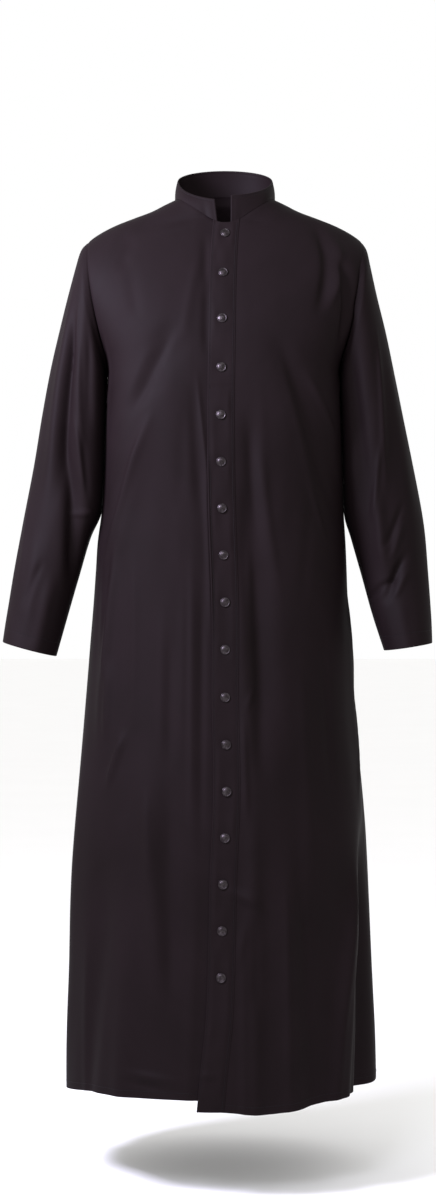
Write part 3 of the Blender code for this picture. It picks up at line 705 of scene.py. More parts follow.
class Reading(NamedTuple):
    """The torso read on a grid: heights, points, outward normals, and lengths across and along."""

    height: Array
    point: Array
    normal: Array
    across: Array
    along: Array

    @property
    def from_hem(self) -> Array:
        """Length along the cloth from the hem."""
        return self.along[-1:] - self.along

    @property
    def from_end(self) -> Array:
        """Length across the cloth from the last column."""
        return self.across[:, -1:] - self.across

    def out(self, distance: Array | float) -> Array:
        """Points at a distance out from the surface; a negative distance lies inside."""
        return raised(self.point, self.normal, distance)

    def above_hem(self, distance: float, base: Array | float = 0.0) -> Line:
        """Line at a distance above the hem, on cloth that lies off the surface by base."""
        spot = rows_at(self.from_hem, distance)
        return self.out(base)[spot], self.normal[spot]


@dataclass
class Torso:
    """The surface that the fronts and the back lie on, with its neck, shoulders and armholes.

    A level section is a superellipse about the vertical axis: the powers of its two coordinates,
    each over its half-size, add up to one. Folds, creases and drift add to its radius.
    """

    neck_front_drop: float = 0.046
    neck_back_rise: float = 0.018
    neck_front_power: float = 3
    neck_back_power: float = 1.5
    shoulder_tip: float = -0.067
    armhole_half_depth: float = 0.071
    underarm_blend: float = 0.045
    underarm_button: int = 4
    button_count: int = 17
    drifts: tuple[Drift, ...] = (
        Drift((0.055, 0.21), 0.0011, 3),
        Drift((0.024, 0.090), 0.00035, 11),
    )
    drift_radius: float = 0.2
    drift_fade: float = 0.15
    snap_sink: float = 0.0007
    snap_sink_radius: float = 0.011
    button_heights: Array = field(init=False)
    underarm: float = field(init=False)
    armhole_middle: float = field(init=False)
    armhole_half_height: float = field(init=False)

    def __post_init__(self) -> None:
        """Work out the buttons' heights and the armhole, whose foot is level with the fourth one."""
        self.button_heights = read(BUTTONS, "height", np.arange(1, self.button_count + 1))
        self.underarm = float(self.button_heights[self.underarm_button - 1])
        self.armhole_middle = (self.shoulder_tip + self.underarm) / 2
        self.armhole_half_height = (self.shoulder_tip - self.underarm) / 2

    def section(self, angle: Array, height: Array) -> tuple[Array, Array, Array]:
        """Half-width, depth and squareness of the level section through each place.

        Beside the armhole the section is as wide as makes it pass through the seam, whose
        half-depth is that of an ellipse. There it passes over into the width at the side seams.

        Args:
            angle: girth angle, in radians.
            height: height of the place.

        Returns:
            Half-width, depth and power of the superellipse.
        """
        left = np.sin(angle) >= 0
        ahead = np.cos(angle) >= 0
        depth = np.where(ahead, read(PROFILE, "front", height), read(PROFILE, "back", height))
        power = read(PROFILE, "squareness", height)
        level = (height - self.armhole_middle) / self.armhole_half_height
        seam_depth = self.armhole_half_depth * np.sqrt(np.clip(1 - level ** 2, 0, 1))
        beside = by_side(ARMHOLE, left, height) / (1 - (seam_depth / depth) ** power) ** (1 / power)
        blend = (self.underarm + self.underarm_blend - height) / (2 * self.underarm_blend)
        width = beside + (by_side(SIDES, left, height) - beside) * ease(blend)
        width = np.where(height > self.shoulder_tip, read(SHOULDER, "reach", height), width)
        return width, depth, power

    def snap_dips(self, angle: Array, height: Array, radius: Array) -> Array:
        """Shallow round dips where the snaps draw the layers together."""
        nearest = np.abs(height[..., None] - self.button_heights).argmin(axis=-1)
        level = self.button_heights[nearest]
        across = radius * np.sin(angle) - read(FRONT_LINE, "across", level)
        reach = (across ** 2 + (height - level) ** 2) / self.snap_sink_radius ** 2
        return np.where(np.cos(angle) > 0, -self.snap_sink * bell(reach, 1.0), 0.0)

    def point(self, angle: Array, height: Array) -> Array:
        """Points of the outer face.

        Args:
            angle: girth angle, in radians.
            height: height of the place.

        Returns:
            The points, one for each place.
        """
        angle, height = np.broadcast_arrays(angle, height)
        width, depth, power = self.section(angle, height)
        sideways = (np.abs(np.sin(angle)) / width) ** power
        forwards = (np.abs(np.cos(angle)) / depth) ** power
        radius = (sideways + forwards) ** (-1 / power)
        relief = folds_at(MAIN_FOLDS + FINE_FOLDS, angle, height, radius)
        relief = relief + dents_at(SHORT_CREASES, angle, height, radius)
        relief = relief + self.snap_dips(angle, height, radius)
        girth = np.mod(angle + QUARTER, 2 * math.pi) * self.drift_radius
        settled = ease((self.shoulder_tip - height) / self.drift_fade)
        for drift in self.drifts:
            relief = relief + settled * drift.at(girth, height)
        radius = radius + relief
        return np.stack([radius * np.sin(angle), -radius * np.cos(angle), height], axis=-1)

    def normal(self, angle: Array, height: Array) -> Array:
        """Outward directions, square to the slopes along the girth and along the height."""
        return facing(self.point, angle, height)

    def angle_at(self, across: Array, height: Array) -> Array:
        """Girth angle of the place on the front at a distance across from the middle.

        Args:
            across: the distance, positive on the wearer's left.
            height: height of the place.

        Returns:
            The angle on the plain section, without folds.
        """
        side = np.where(np.asarray(across) >= 0, math.pi / 4, -math.pi / 4)
        width, depth, power = self.section(side + 0 * height, height)
        ahead = depth * (1 - (np.abs(across) / width) ** power) ** (1 / power)
        return np.arctan2(across, ahead)

    def beside_buttons(self, offset: Array | float, height: Array) -> Array:
        """Girth angle at a distance across from the line of buttons."""
        return self.angle_at(read(FRONT_LINE, "across", height) + offset, height)

    def neck_height(self, angle: Array) -> Array:
        """Height of the neckline: lowest in the middle of the front and highest at the nape."""
        cosine = np.cos(angle)
        front = -self.neck_front_drop * np.abs(cosine) ** self.neck_front_power
        back = self.neck_back_rise * np.abs(cosine) ** self.neck_back_power
        return np.where(cosine > 0, front, back)

    def armhole_place(self, turn: Array, side: Side) -> tuple[Array, Array]:
        """Girth angle and height of the armhole seam at each turn from the shoulder tip.

        Args:
            turn: 90 degrees is the front of the seam, 180 the underarm and 270 its back.
            side: which armhole.

        Returns:
            The angles and the heights.
        """
        height = self.armhole_middle + self.armhole_half_height * np.cos(turn)
        across = by_side(ARMHOLE, side is Side.LEFT, height)
        return side.value * np.arctan2(across, self.armhole_half_depth * np.sin(turn)), height

    def read_at(self, places: Array) -> Reading:
        """Points, normals and lengths on a grid of (angle, height) places."""
        angle, height = places[..., 0], places[..., 1]
        point = self.point(angle, height)
        return Reading(height, point, self.normal(angle, height), lengths(point, 1), lengths(point, 0))


def patch(u: Array, v: Array, top: Array, bottom: Array, start: Array, end: Array) -> Array:
    """Grid between four edges: the sum of both ruled surfaces, less the one through its corners.

    Args:
        u: share of the way across, for each column.
        v: share of the way down, for each row.
        top: places of the upper edge, one for each column.
        bottom: places of the lower edge.
        start: places of the first column's edge, one for each row.
        end: places of the last column's edge.

    Returns:
        The grid of places.
    """
    u = u[None, :, None]
    v = v[:, None, None]
    ruled = (1 - v) * top[None] + v * bottom[None] + (1 - u) * start[:, None] + u * end[:, None]
    corners = (1 - v) * ((1 - u) * top[0] + u * top[-1]) + v * ((1 - u) * bottom[0] + u * bottom[-1])
    return ruled - corners


def shares(count: int, length: float, first: bool = True, last: bool = True) -> Array:
    """Shares from 0 to 1 in even steps, with extra ones close to the ends asked for.

    Args:
        count: number of even steps.
        length: real length that the shares divide, in metres.
        first: whether extra shares lie at the start.
        last: whether extra shares lie at the end.

    Returns:
        The shares in rising order.
    """
    parts = [np.linspace(0, 1, count + 1)]
    extra = np.array(EDGE_LINES) / length
    if first:
        parts.append(extra)
    if last:
        parts.append(1 - extra)
    found = np.sort(np.concatenate(parts))
    keep = np.concatenate([[True], np.diff(found) > LEAST_LINE_GAP / length])
    keep[-1] = True
    return found[keep]


def put(name: str, data: ID) -> Object:
    """Put an object with this data in the scene."""
    made = bpy.data.objects.new(name, data)
    bpy.context.scene.collection.objects.link(made)
    return made


def put_mesh(name: str, points: Array, faces: list, finish: Material) -> Object:
    """Put a mesh with one material in the scene, shaded smooth.

    Args:
        name: the object's name.
        points: its points.
        faces: the point numbers of each face.
        finish: its material.

    Returns:
        The new object.
    """
    mesh = bpy.data.meshes.new(name)
    mesh.from_pydata(points.tolist(), [], faces)
    mesh.shade_smooth()
    mesh.materials.append(finish)
    return put(name, mesh)


def recalculate_outward(made: Object) -> None:
    """Turn the faces of a closed mesh so that they all point out."""
    work = bmesh.new()
    work.from_mesh(made.data)
    bmesh.ops.recalc_face_normals(work, faces=work.faces)
    work.to_mesh(made.data)
    work.free()


def put_cloth(name: str, points: Array, quads: Array, uv: Array, finish: Material) -> Object:
    """Put a closed mesh of quads in the scene, with sharp edges and its UV map in metres.

    Args:
        name: the object's name.
        points: its points.
        quads: four point numbers for each face.
        uv: the place on the flat cloth of each point, in metres.
        finish: its material.

    Returns:
        The new object.
    """
    made = put_mesh(name, points, quads.tolist(), finish)
    mesh = made.data
    corners = np.empty(len(mesh.loops), dtype=np.int32)
    mesh.loops.foreach_get("vertex_index", corners)
    layer = mesh.uv_layers.new(name=CLOTH_MAP)
    layer.data.foreach_set("uv", uv[corners].astype(np.float32).ravel())
    mesh.set_sharp_from_angle(angle=math.radians(SHARP_ANGLE))
    recalculate_outward(made)
    return made


def cells(number: Array) -> Array:
    """The quads between neighbouring rows and columns of a grid of point numbers."""
    corners = [number[:-1, :-1], number[1:, :-1], number[1:, 1:], number[:-1, 1:]]
    return np.stack(corners, axis=-1).reshape(-1, 4)


def wall(name: str, outer: Array, inner: Array, uv: Array, finish: Material,
         closing: Closing = Closing.PANEL) -> Object:
    """A closed wall of cloth between two grids of points, with its faces pointing out.

    Args:
        name: the object's name.
        outer: grid of points of the outer face, columns running round to the wearer's left.
        inner: the same grid on the inner face.
        uv: place on the flat cloth of each grid point, in metres.
        finish: its material.
        closing: whether the last column meets the first.

    Returns:
        The new object.
    """
    rows, columns = outer.shape[:2]
    number = np.arange(rows * columns).reshape(rows, columns)
    if closing is Closing.TUBE:
        number = np.concatenate([number, number[:, :1]], axis=1)
    inside = number + rows * columns
    quads = [cells(number), cells(inside)[:, ::-1]]
    quads.append(cells(np.stack([inside[0], number[0]])))
    quads.append(cells(np.stack([number[-1], inside[-1]])))
    if closing is Closing.PANEL:
        quads.append(cells(np.stack([inside[:, 0], number[:, 0]], axis=1)))
        quads.append(cells(np.stack([number[:, -1], inside[:, -1]], axis=1)))
    points = np.concatenate([outer.reshape(-1, 3), inner.reshape(-1, 3)])
    flat = uv.reshape(-1, 2)
    return put_cloth(name, points, np.concatenate(quads), np.concatenate([flat, flat]), finish)


def hemmed(surface: Line, from_seam: Array, from_hem: Array, fold: float, full: Array,
           base: Array | float = 0.0) -> tuple[Array, Array]:
    """Outer and inner points of a wall of cloth with grooved seams and a turned hem.

    The cloth dips as a bell at its seams and over the hem's stitches. Its inner face lies one
    thickness in, and more where the hem is turned. Both faces meet where full falls to 0.

    Args:
        surface: points and normals that the cloth lies on.
        from_seam: distance from the nearest seam.
        from_hem: distance from the hem.
        fold: height of the turned hem.
        full: share of the thickness, which falls to 0 at a rounded edge.
        base: how far the cloth lies off the surface.

    Returns:
        The outer and the inner points.
    """
    dip = base - SEAM_DEPTH * bell(from_seam, SEAM_HALF_WIDTH)
    dip = dip - STITCH_DEPTH * bell(from_hem - fold, STITCH_HALF_WIDTH)
    turned = TURNED_CLOTH * ease((fold - from_hem) / TURN_FADE + 0.5)
    outer = raised(*surface, dip - CLOTH / 2 * (1 - full))
    inner = raised(*surface, dip - CLOTH / 2 * (1 + full) - turned * full)
    return outer, inner


def linear(colour: str) -> tuple[float, float, float, float]:
    """An sRGB hex colour such as "1c191b" as linear red, green and blue, with alpha 1."""
    parts = [int(colour[i:i + 2], 16) / 255 for i in (0, 2, 4)]
    turned = [c / 12.92 if c <= 0.04045 else ((c + 0.055) / 1.055) ** 2.4 for c in parts]
    return (*turned, 1.0)


def add_node(tree: NodeTree, kind: str, inputs: dict | None = None, **settings: str) -> Node:
    """Add one node with its settings and links.

    Args:
        tree: the node tree.
        kind: the node's type, without "ShaderNode".
        inputs: input name or number, with the value to set or the output socket to link.
        settings: properties of the node.

    Returns:
        The node.
    """
    node = tree.nodes.new("ShaderNode" + kind)
    for name, value in settings.items():
        setattr(node, name, value)
    for key, value in (inputs or {}).items():
        if isinstance(value, NodeSocket):
            tree.links.new(value, node.inputs[key])
        else:
            node.inputs[key].default_value = value
    return node


class Shading:
    """A material under way, with its node tree and its Principled shader."""

    def __init__(self, name: str) -> None:
        """Start the material under a name."""
        self.material = bpy.data.materials.new(name)
        self.material.use_nodes = True
        self.tree = self.material.node_tree
        self.shader = self.tree.nodes["Principled BSDF"]

    def set(self, name: str, value: float | NodeSocket) -> None:
        """Set a number on one of the shader's sockets, or link one into it."""
        if isinstance(value, NodeSocket):
            self.tree.links.new(value, self.shader.inputs[name])
        else:
            self.shader.inputs[name].default_value = value

    def object_place(self) -> NodeSocket:
        """Places in the object's own coordinates."""
        return add_node(self.tree, "TexCoord").outputs["Object"]

    def noise(self, place: NodeSocket, scale: float, detail: float,
              roughness: float = 0.5) -> NodeSocket:
        """Cloudy noise at each place."""
        return add_node(self.tree, "TexNoise", {
            "Vector": place, "Scale": scale, "Detail": detail, "Roughness": roughness}).outputs["Fac"]

    def spread(self, value: NodeSocket, span: Pair, onto: Pair) -> NodeSocket:
        """A value whose span is stretched onto another one."""
        return add_node(self.tree, "MapRange", {
            "Value": value, "From Min": span[0], "From Max": span[1],
            "To Min": onto[0], "To Max": onto[1]}).outputs["Result"]

    def paint(self, share: NodeSocket, first: str, second: str) -> None:
        """Colour the shader with a mix of two hex colours, by the share of the second."""
        mixed = add_node(self.tree, "Mix", {
            "Factor": share, "A": linear(first), "B": linear(second)}, data_type="RGBA")
        self.set("Base Color", mixed.outputs[2])

    def bump(self, height: NodeSocket, strength: float, distance: float) -> None:
        """Roughen the shader's normal by a height."""
        self.set("Normal", add_node(self.tree, "Bump", {
            "Height": height, "Strength": strength, "Distance": distance}).outputs["Normal"])


@dataclass(frozen=True)
class Twill:
    """Black polyester twill, woven and pressed: close diagonal ribs under a low, soft sheen.

    A real rib is about 0.5 mm apart. It is drawn at rib_mm, so that it shows as a faint grain.
    The pressed cloth is a little smoother in some places than in others.
    """

    name: str = "black_twill"
    colour: str = "0f090a"
    worn_colour: str = "171012"
    rib_mm: float = 2.0
    rib_angle: float = 63.0
    rib_depth_mm: float = 0.10
    yarn_scale: float = 420.0
    pressing_scale: float = 7.0
    pressing_span: Pair = (0.3, 0.7)
    worn_share: float = 0.55
    grain_share: float = 0.45
    roughness: Pair = (0.60, 0.74)
    specular: float = 0.046

    def make(self) -> Material:
        """The material: ribs from the cloth's own UV map, with uneven yarn and pressing."""
        shading = Shading(self.name)
        tree = shading.tree
        place = add_node(tree, "UVMap", uv_map=CLOTH_MAP).outputs["UV"]
        turned = add_node(tree, "Mapping", {
            "Vector": place, "Rotation": (0, 0, math.radians(self.rib_angle))}).outputs["Vector"]
        # a wave texture's bands are 2 pi / 20 apart at scale 1
        band_scale = 2 * math.pi / 20 / (self.rib_mm / 1000)
        ribs = add_node(tree, "TexWave", {
            "Vector": turned, "Scale": band_scale, "Distortion": 0.6,
            "Detail": 2.0, "Detail Scale": 3.0}).outputs["Fac"]
        yarn = shading.noise(place, self.yarn_scale, 2.0, 0.6)
        pressing = shading.noise(place, self.pressing_scale, 4.0, 0.55)
        uneven = add_node(tree, "Mix", {
            "Factor": 0.5, "A": ribs, "B": yarn}, data_type="FLOAT").outputs["Result"]
        grain = add_node(tree, "Math", {0: uneven, 1: self.grain_share}, operation="MULTIPLY")
        tone = shading.spread(pressing, self.pressing_span, (0.0, self.worn_share))
        share = add_node(tree, "Math", {0: tone, 1: grain.outputs["Value"]}, operation="ADD")
        shading.paint(share.outputs["Value"], self.colour, self.worn_colour)
        shading.set("Roughness", shading.spread(pressing, self.pressing_span, self.roughness))
        shading.bump(uneven, 0.5, self.rib_depth_mm / 1000)
        shading.set("IOR", 1.5)
        shading.set("Specular IOR Level", self.specular)
        return shading.material


@dataclass(frozen=True)
class Thread:
    """Black spun polyester sewing thread: fine and almost matt, so that the stitches only just show."""

    name: str = "black_thread"
    dark_colour: str = "121012"
    colour: str = "1a1618"
    twist_scale: float = 1500.0
    roughness: float = 0.60
    specular: float = 0.10

    def make(self) -> Material:
        """The material: a dark thread whose twist makes fine bands."""
        shading = Shading(self.name)
        twist = shading.noise(shading.object_place(), self.twist_scale, 1.0)
        shading.paint(twist, self.dark_colour, self.colour)
        shading.set("Roughness", self.roughness)
        shading.set("Specular IOR Level", self.specular)
        return shading.material


@dataclass(frozen=True)
class Gunmetal:
    """Dark nickel plate on a pressed brass cap: low, smoky shine, brighter where it is rubbed."""

    name: str = "gunmetal_plate"
    colour: str = "2b2628"
    rubbed_colour: str = "565052"
    wear_scale: float = 340.0
    rubbed_span: Pair = (0.42, 0.72)
    rubbed_share: float = 0.6
    polish_span: Pair = (0.3, 0.7)
    roughness: Pair = (0.46, 0.30)
    pitting: float = 0.00012

    def make(self) -> Material:
        """The material: a metal whose plate is uneven in tone and polish."""
        shading = Shading(self.name)
        wear = shading.noise(shading.object_place(), self.wear_scale, 4.0, 0.65)
        share = shading.spread(wear, self.rubbed_span, (0.0, self.rubbed_share))
        shading.paint(share, self.colour, self.rubbed_colour)
        shading.set("Roughness", shading.spread(wear, self.polish_span, self.roughness))
        shading.bump(wear, 0.4, self.pitting)
        shading.set("Metallic", 1.0)
        return shading.material


@dataclass(frozen=True)
class StudioPaper:
    """White seamless background paper, matt, under the garment."""

    name: str = "white_paper"
    shaded_colour: str = "f9f8f7"
    colour: str = "fcfbfa"
    tooth_scale: float = 3.0
    roughness: float = 0.9

    def make(self) -> Material:
        """The material: a matt sheet with a faint unevenness."""
        shading = Shading(self.name)
        tooth = shading.noise(shading.object_place(), self.tooth_scale, 3.0)
        shading.paint(tooth, self.shaded_colour, self.colour)
        shading.set("Roughness", self.roughness)
        return shading.material


@dataclass
class Finishes:
    """The materials of the garment, made once."""

    twill: Material = field(default_factory=Twill().make)
    collar: Material = field(
        default_factory=Twill(name="pressed_collar_twill", roughness=(0.56, 0.70)).make)
    thread: Material = field(default_factory=Thread().make)
    snap: Material = field(default_factory=Gunmetal().make)


def settle(piece: Object, slot: str, *nodes: str) -> None:
    """Let a piece ride on the body and stand for some nodes, hiding their solids.

    Args:
        piece: the finished piece.
        slot: the record's material slot; not used.
        nodes: the solids that the piece stands for.
    """
    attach(piece, BODY)
    if nodes:
        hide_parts(*nodes)
    LOG.info("%s: %d faces", piece.name, len(piece.data.polygons))


class StitchRing(NamedTuple):
    """A ring of a stitch: share of the way along it, and its radius and lift in thread radii."""

    share: float
    radius: float
    lift: float


def read_path(vectors: Array, run: Array, at: Array) -> Array:
    """Vectors given along a path at the lengths in run, read between them at other lengths."""
    return np.stack([np.interp(at, run, vectors[:, k]) for k in range(3)], axis=-1)


@dataclass
class Stitching:
    """Rows of machine stitches: small rods that lie on the cloth, end to end with short gaps."""

    material: Material
    stitch: float = 0.0030
    gap: float = 0.0008
    thread: float = 0.00030
    sides: int = 4
    rings: tuple[StitchRing, ...] = make_table(
        StitchRing,
        (0.00, 0.5, -0.30),
        (0.22, 1.0, 0.55),
        (0.78, 1.0, 0.55),
        (1.00, 0.5, -0.30),
    )

    def sew(self, name: str, slot: str, lines: list[Line]) -> None:
        """Make one piece of all the stitches along some lines.

        A stitch is a prism between two points of its line, whose ends dip into the cloth: its
        rings are the line's side and normal directions turned round by the cosine and sine.

        Args:
            name: the piece's name.
            slot: the record's material slot.
            lines: for each line its points and the outward normals there.
        """
        turn = np.arange(self.sides) * 2 * math.pi / self.sides
        points = []
        quads = []
        count = 0
        for path, normals in lines:
            run = lengths(path[None], 1)[0]
            starts = np.arange(0, run[-1] - self.stitch, self.stitch + self.gap)
            rings = []
            for ring in self.rings:
                at = starts + ring.share * self.stitch
                up = unit(read_path(normals, run, at))
                ahead = unit(read_path(path, run, at + STEP) - read_path(path, run, at - STEP))
                side = unit(np.cross(ahead, up))
                spoke = np.cos(turn)[:, None] * side[:, None] + np.sin(turn)[:, None] * up[:, None]
                middle = read_path(path, run, at)[:, None] + up[:, None] * ring.lift * self.thread
                rings.append(middle + spoke * ring.radius * self.thread)
            grid = np.stack(rings, axis=1)
            points.append(grid.reshape(-1, 3))
            index = count + np.arange(grid[..., 0].size).reshape(grid.shape[:3])
            near, far = index[:, :-1], index[:, 1:]
            around = np.stack([near, np.roll(near, -1, 2), np.roll(far, -1, 2), far], axis=-1)
            quads += [around.reshape(-1, 4), index[:, 0, ::-1], index[:, -1]]
            count += index.size
        points = np.concatenate(points)
        unmapped = np.zeros((len(points), 2))
        settle(put_cloth(name, points, np.concatenate(quads), unmapped, self.material), slot)


@dataclass
class FrontPanel:
    """One front, from its armhole and side seam to the far edge of the placket's strip.

    Rows and columns are shares: across from the placket to the side seam, down from the neckline
    to the underarm, from there to the last button, and from there to the hem.
    """

    torso: Torso
    side: Side
    hem: tuple[Hem, ...]
    name: str
    columns: int = 78
    strip_columns: int = 10
    rows_per_button: int = 3
    upper_rows: int = 76
    skirt_rows: int = 236
    hem_rows: int = 52
    width: float = 0.27
    upper_length: float = 0.24
    hem_length: float = 0.20
    neck_share: float = 5 / 12
    placket_half_width: float = 0.0205
    underlap_fade: float = 0.030
    reading: Reading = field(init=False)
    stitch_line: Line = field(init=False)

    def edge_rows(self, v: Array) -> Array:
        """Heights down the placket's edge at each share of the way to the underarm.

        The rows of the solid stand at every tenth: the neckline, and three for each button.
        """
        buttons = self.torso.button_heights[:self.torso.underarm_button]
        stops = [-self.torso.neck_front_drop]
        for upper, lower in zip(buttons, buttons[1:]):
            stops += list(np.linspace(upper, lower, self.rows_per_button, endpoint=False))
        stops.append(buttons[-1])
        return np.interp(v, np.linspace(0, 1, len(stops)), stops)

    def top_edge(self, u: Array, start: float) -> Array:
        """Places along the neckline to the shoulder seam and down it, for each column."""
        end = self.side.value * QUARTER
        on_neck = np.clip(u / self.neck_share, 0, 1)
        down = np.clip((u - self.neck_share) / (1 - self.neck_share), 0, 1)
        angle = start + (end - start) * on_neck
        neck = self.torso.neck_height(angle)
        return pair(angle, np.where(u < self.neck_share, neck, down * self.torso.shoulder_tip))

    def hem_height(self, angle: Array) -> Array:
        """Height of the hem at a girth angle in radians."""
        return read(self.hem, "height", np.degrees(angle))

    def places(self) -> Array:
        """The panel's grid of (angle, height), the placket's strip first.

        Above the underarm it is a patch between the neckline and shoulder, the armhole, the
        underarm level and the placket's edge. Below, each row runs evenly from the placket's
        edge to the side seam, and the last rows ease into the hem's own line.
        """
        torso = self.torso
        near = self.side.value * self.placket_half_width
        end = self.side.value * QUARTER
        u = shares(self.columns, self.width, first=False)
        v = shares(self.upper_rows, self.upper_length, last=False)
        rows = self.edge_rows(v)
        start = pair(torso.beside_buttons(near, rows), rows)
        start[0, 1] = torso.neck_height(start[0, 0])
        seam = pair(*torso.armhole_place(math.pi * v, self.side))
        seam[[0, -1], 0] = end
        bottom = pair(start[-1, 0] + (end - start[-1, 0]) * u, torso.underarm)
        upper = patch(u, v, self.top_edge(u, start[0, 0]), bottom, start, seam)
        last = torso.button_heights[-1]
        level = np.linspace(torso.underarm, last, self.skirt_rows + 1)[1:, None]
        level_edge = torso.beside_buttons(near, level)
        skirt = pair(level_edge + (end - level_edge) * u, level)
        hang = shares(self.hem_rows, self.hem_length, first=False)[1:, None]
        low_edge = torso.beside_buttons(near, last + (self.hem_height(0.0) - last) * hang)
        angles = low_edge + (end - low_edge) * u
        low = pair(angles, last + (self.hem_height(angles) - last) * hang)
        panel = np.concatenate([upper, skirt, low])
        strip = []
        for share in shares(self.strip_columns, 2 * self.placket_half_width, last=False)[:-1]:
            column = panel[:, 0].copy()
            column[:, 0] = torso.beside_buttons((2 * share - 1) * near, column[:, 1])
            column[0, 1] = torso.neck_height(column[0, 0])
            column[-1, 1] = self.hem_height(column[-1, 0])
            strip.append(column[:, None])
        grid = np.concatenate(strip + [panel], axis=1)
        grid[..., 0] = np.clip(grid[..., 0], -QUARTER, QUARTER)
        return grid

    def underlap(self) -> Array:
        """How far the under front lies inside the torso's face: wholly under the placket, then less."""
        edge = read(FRONT_LINE, "across", self.reading.height) - self.placket_half_width
        fade = ease((edge - self.reading.point[..., 0]) / self.underlap_fade)
        return -(CLOTH + LAYER_GAP) * (1 - fade)

    def build(self, material: Material) -> None:
        """Make the front as a thin wall with a soft edge, seam grooves and a turned hem.

        Args:
            material: the cloth.
        """
        self.reading = reading = self.torso.read_at(self.places())
        base = 0.0 if self.side is Side.LEFT else self.underlap()
        from_seam = np.minimum(reading.from_end, reading.along)
        full = rounding(np.minimum(reading.across, reading.from_hem), EDGE_RADIUS)
        surface = (reading.point, reading.normal)
        outer, inner = hemmed(surface, from_seam, reading.from_hem, HEM_FOLD, full, base)
        uv = pair(self.side.value * reading.across, -reading.along)
        grids = [grid[:, ::self.side.value] for grid in (outer, inner, uv)]
        piece = wall(self.name, *grids, material)
        settle(piece, "twill", self.name)
        self.stitch_line = reading.above_hem(HEM_FOLD, base)


@dataclass
class PlacketBand:
    """The band along the edge of the left front, stitched down both its sides.

    Its left edge is free and rounded, and its right edge is sewn on and thins out.
    """

    panel: FrontPanel
    name: str = "placket"
    columns: int = 18
    edge_radius: float = 0.0012
    sewn_edge_width: float = 0.011
    sewn_edge_share: float = 0.12
    least_share: float = 0.25
    flat_margin: float = 0.004
    puff_fade: float = 0.006
    puff: float = 0.0004
    deepest_ripple: float = -0.0002
    ripple: Drift = Drift((0.016, 0.034), 0.0008, 29)
    stitch_inset: float = 0.0032
    stitch_half_width: float = 0.0011
    free_stitch_depth: float = 0.0003
    sewn_stitch_depth: float = 0.0001
    join_height: float = -0.3104
    join_depth: float = 0.0007
    join_half_width: float = 0.0016
    map_shift: float = 0.5

    def places(self, across: Array) -> Array:
        """The band's grid of (angle, height), a column for each distance across from the buttons."""
        torso = self.panel.torso
        height = self.panel.reading.height[:, :1] + 0 * across
        angle = torso.beside_buttons(across, height)
        height[0] = torso.neck_height(angle[0])
        height[-1] = self.panel.hem_height(angle[-1])
        return pair(angle, height)

    def build(self, material: Material) -> None:
        """Make the band as a wall over the left front.

        Between the stitches it stands up a little and ripples, and one join crosses it.

        Args:
            material: the cloth.
        """
        half = self.panel.placket_half_width
        across = -half + 2 * half * shares(self.columns, 2 * half)
        reading = self.panel.torso.read_at(self.places(across))
        height = reading.height
        from_left = across + half
        from_right = half - across
        from_edge = np.minimum(from_left, np.minimum(reading.from_hem, reading.along))
        sewn = ease(self.sewn_edge_share + from_right / self.sewn_edge_width)
        full = np.minimum(rounding(from_edge, self.edge_radius), sewn)
        free = ease((from_left - self.flat_margin) / self.puff_fade)
        free = free * ease((from_right - self.flat_margin) / self.puff_fade)
        puff = free * (self.puff + self.ripple.at(across + 0 * height, height))
        pulled = self.free_stitch_depth * bell(from_left - self.stitch_inset, self.stitch_half_width)
        pulled = pulled + self.sewn_stitch_depth * bell(
            from_right - self.stitch_inset, self.stitch_half_width)
        join = self.join_depth * bell(height - self.join_height, self.join_half_width)
        thick = PLACKET_CLOTH - pulled - join + np.maximum(puff, self.deepest_ripple)
        outer = reading.out(SEAM_GAP + thick * (self.least_share + (1 - self.least_share) * full))
        uv = pair(reading.across + self.map_shift, -reading.along)
        piece = wall(self.name, outer, reading.out(SEAM_GAP), uv, material)
        settle(piece, "twill", self.name)

    def lines(self) -> list[Line]:
        """The two stitch lines, a little in from the band's edges."""
        torso = self.panel.torso
        inset = self.panel.placket_half_width - self.stitch_inset
        height = self.panel.reading.height[LINE_END_ROWS:-LINE_END_ROWS, 0]
        lift = SEAM_GAP + PLACKET_CLOTH - self.free_stitch_depth
        found = []
        for across in (-inset, inset):
            angle = torso.beside_buttons(across, height)
            normal = torso.normal(angle, height)
            found.append((raised(torso.point(angle, height), normal, lift), normal))
        return found


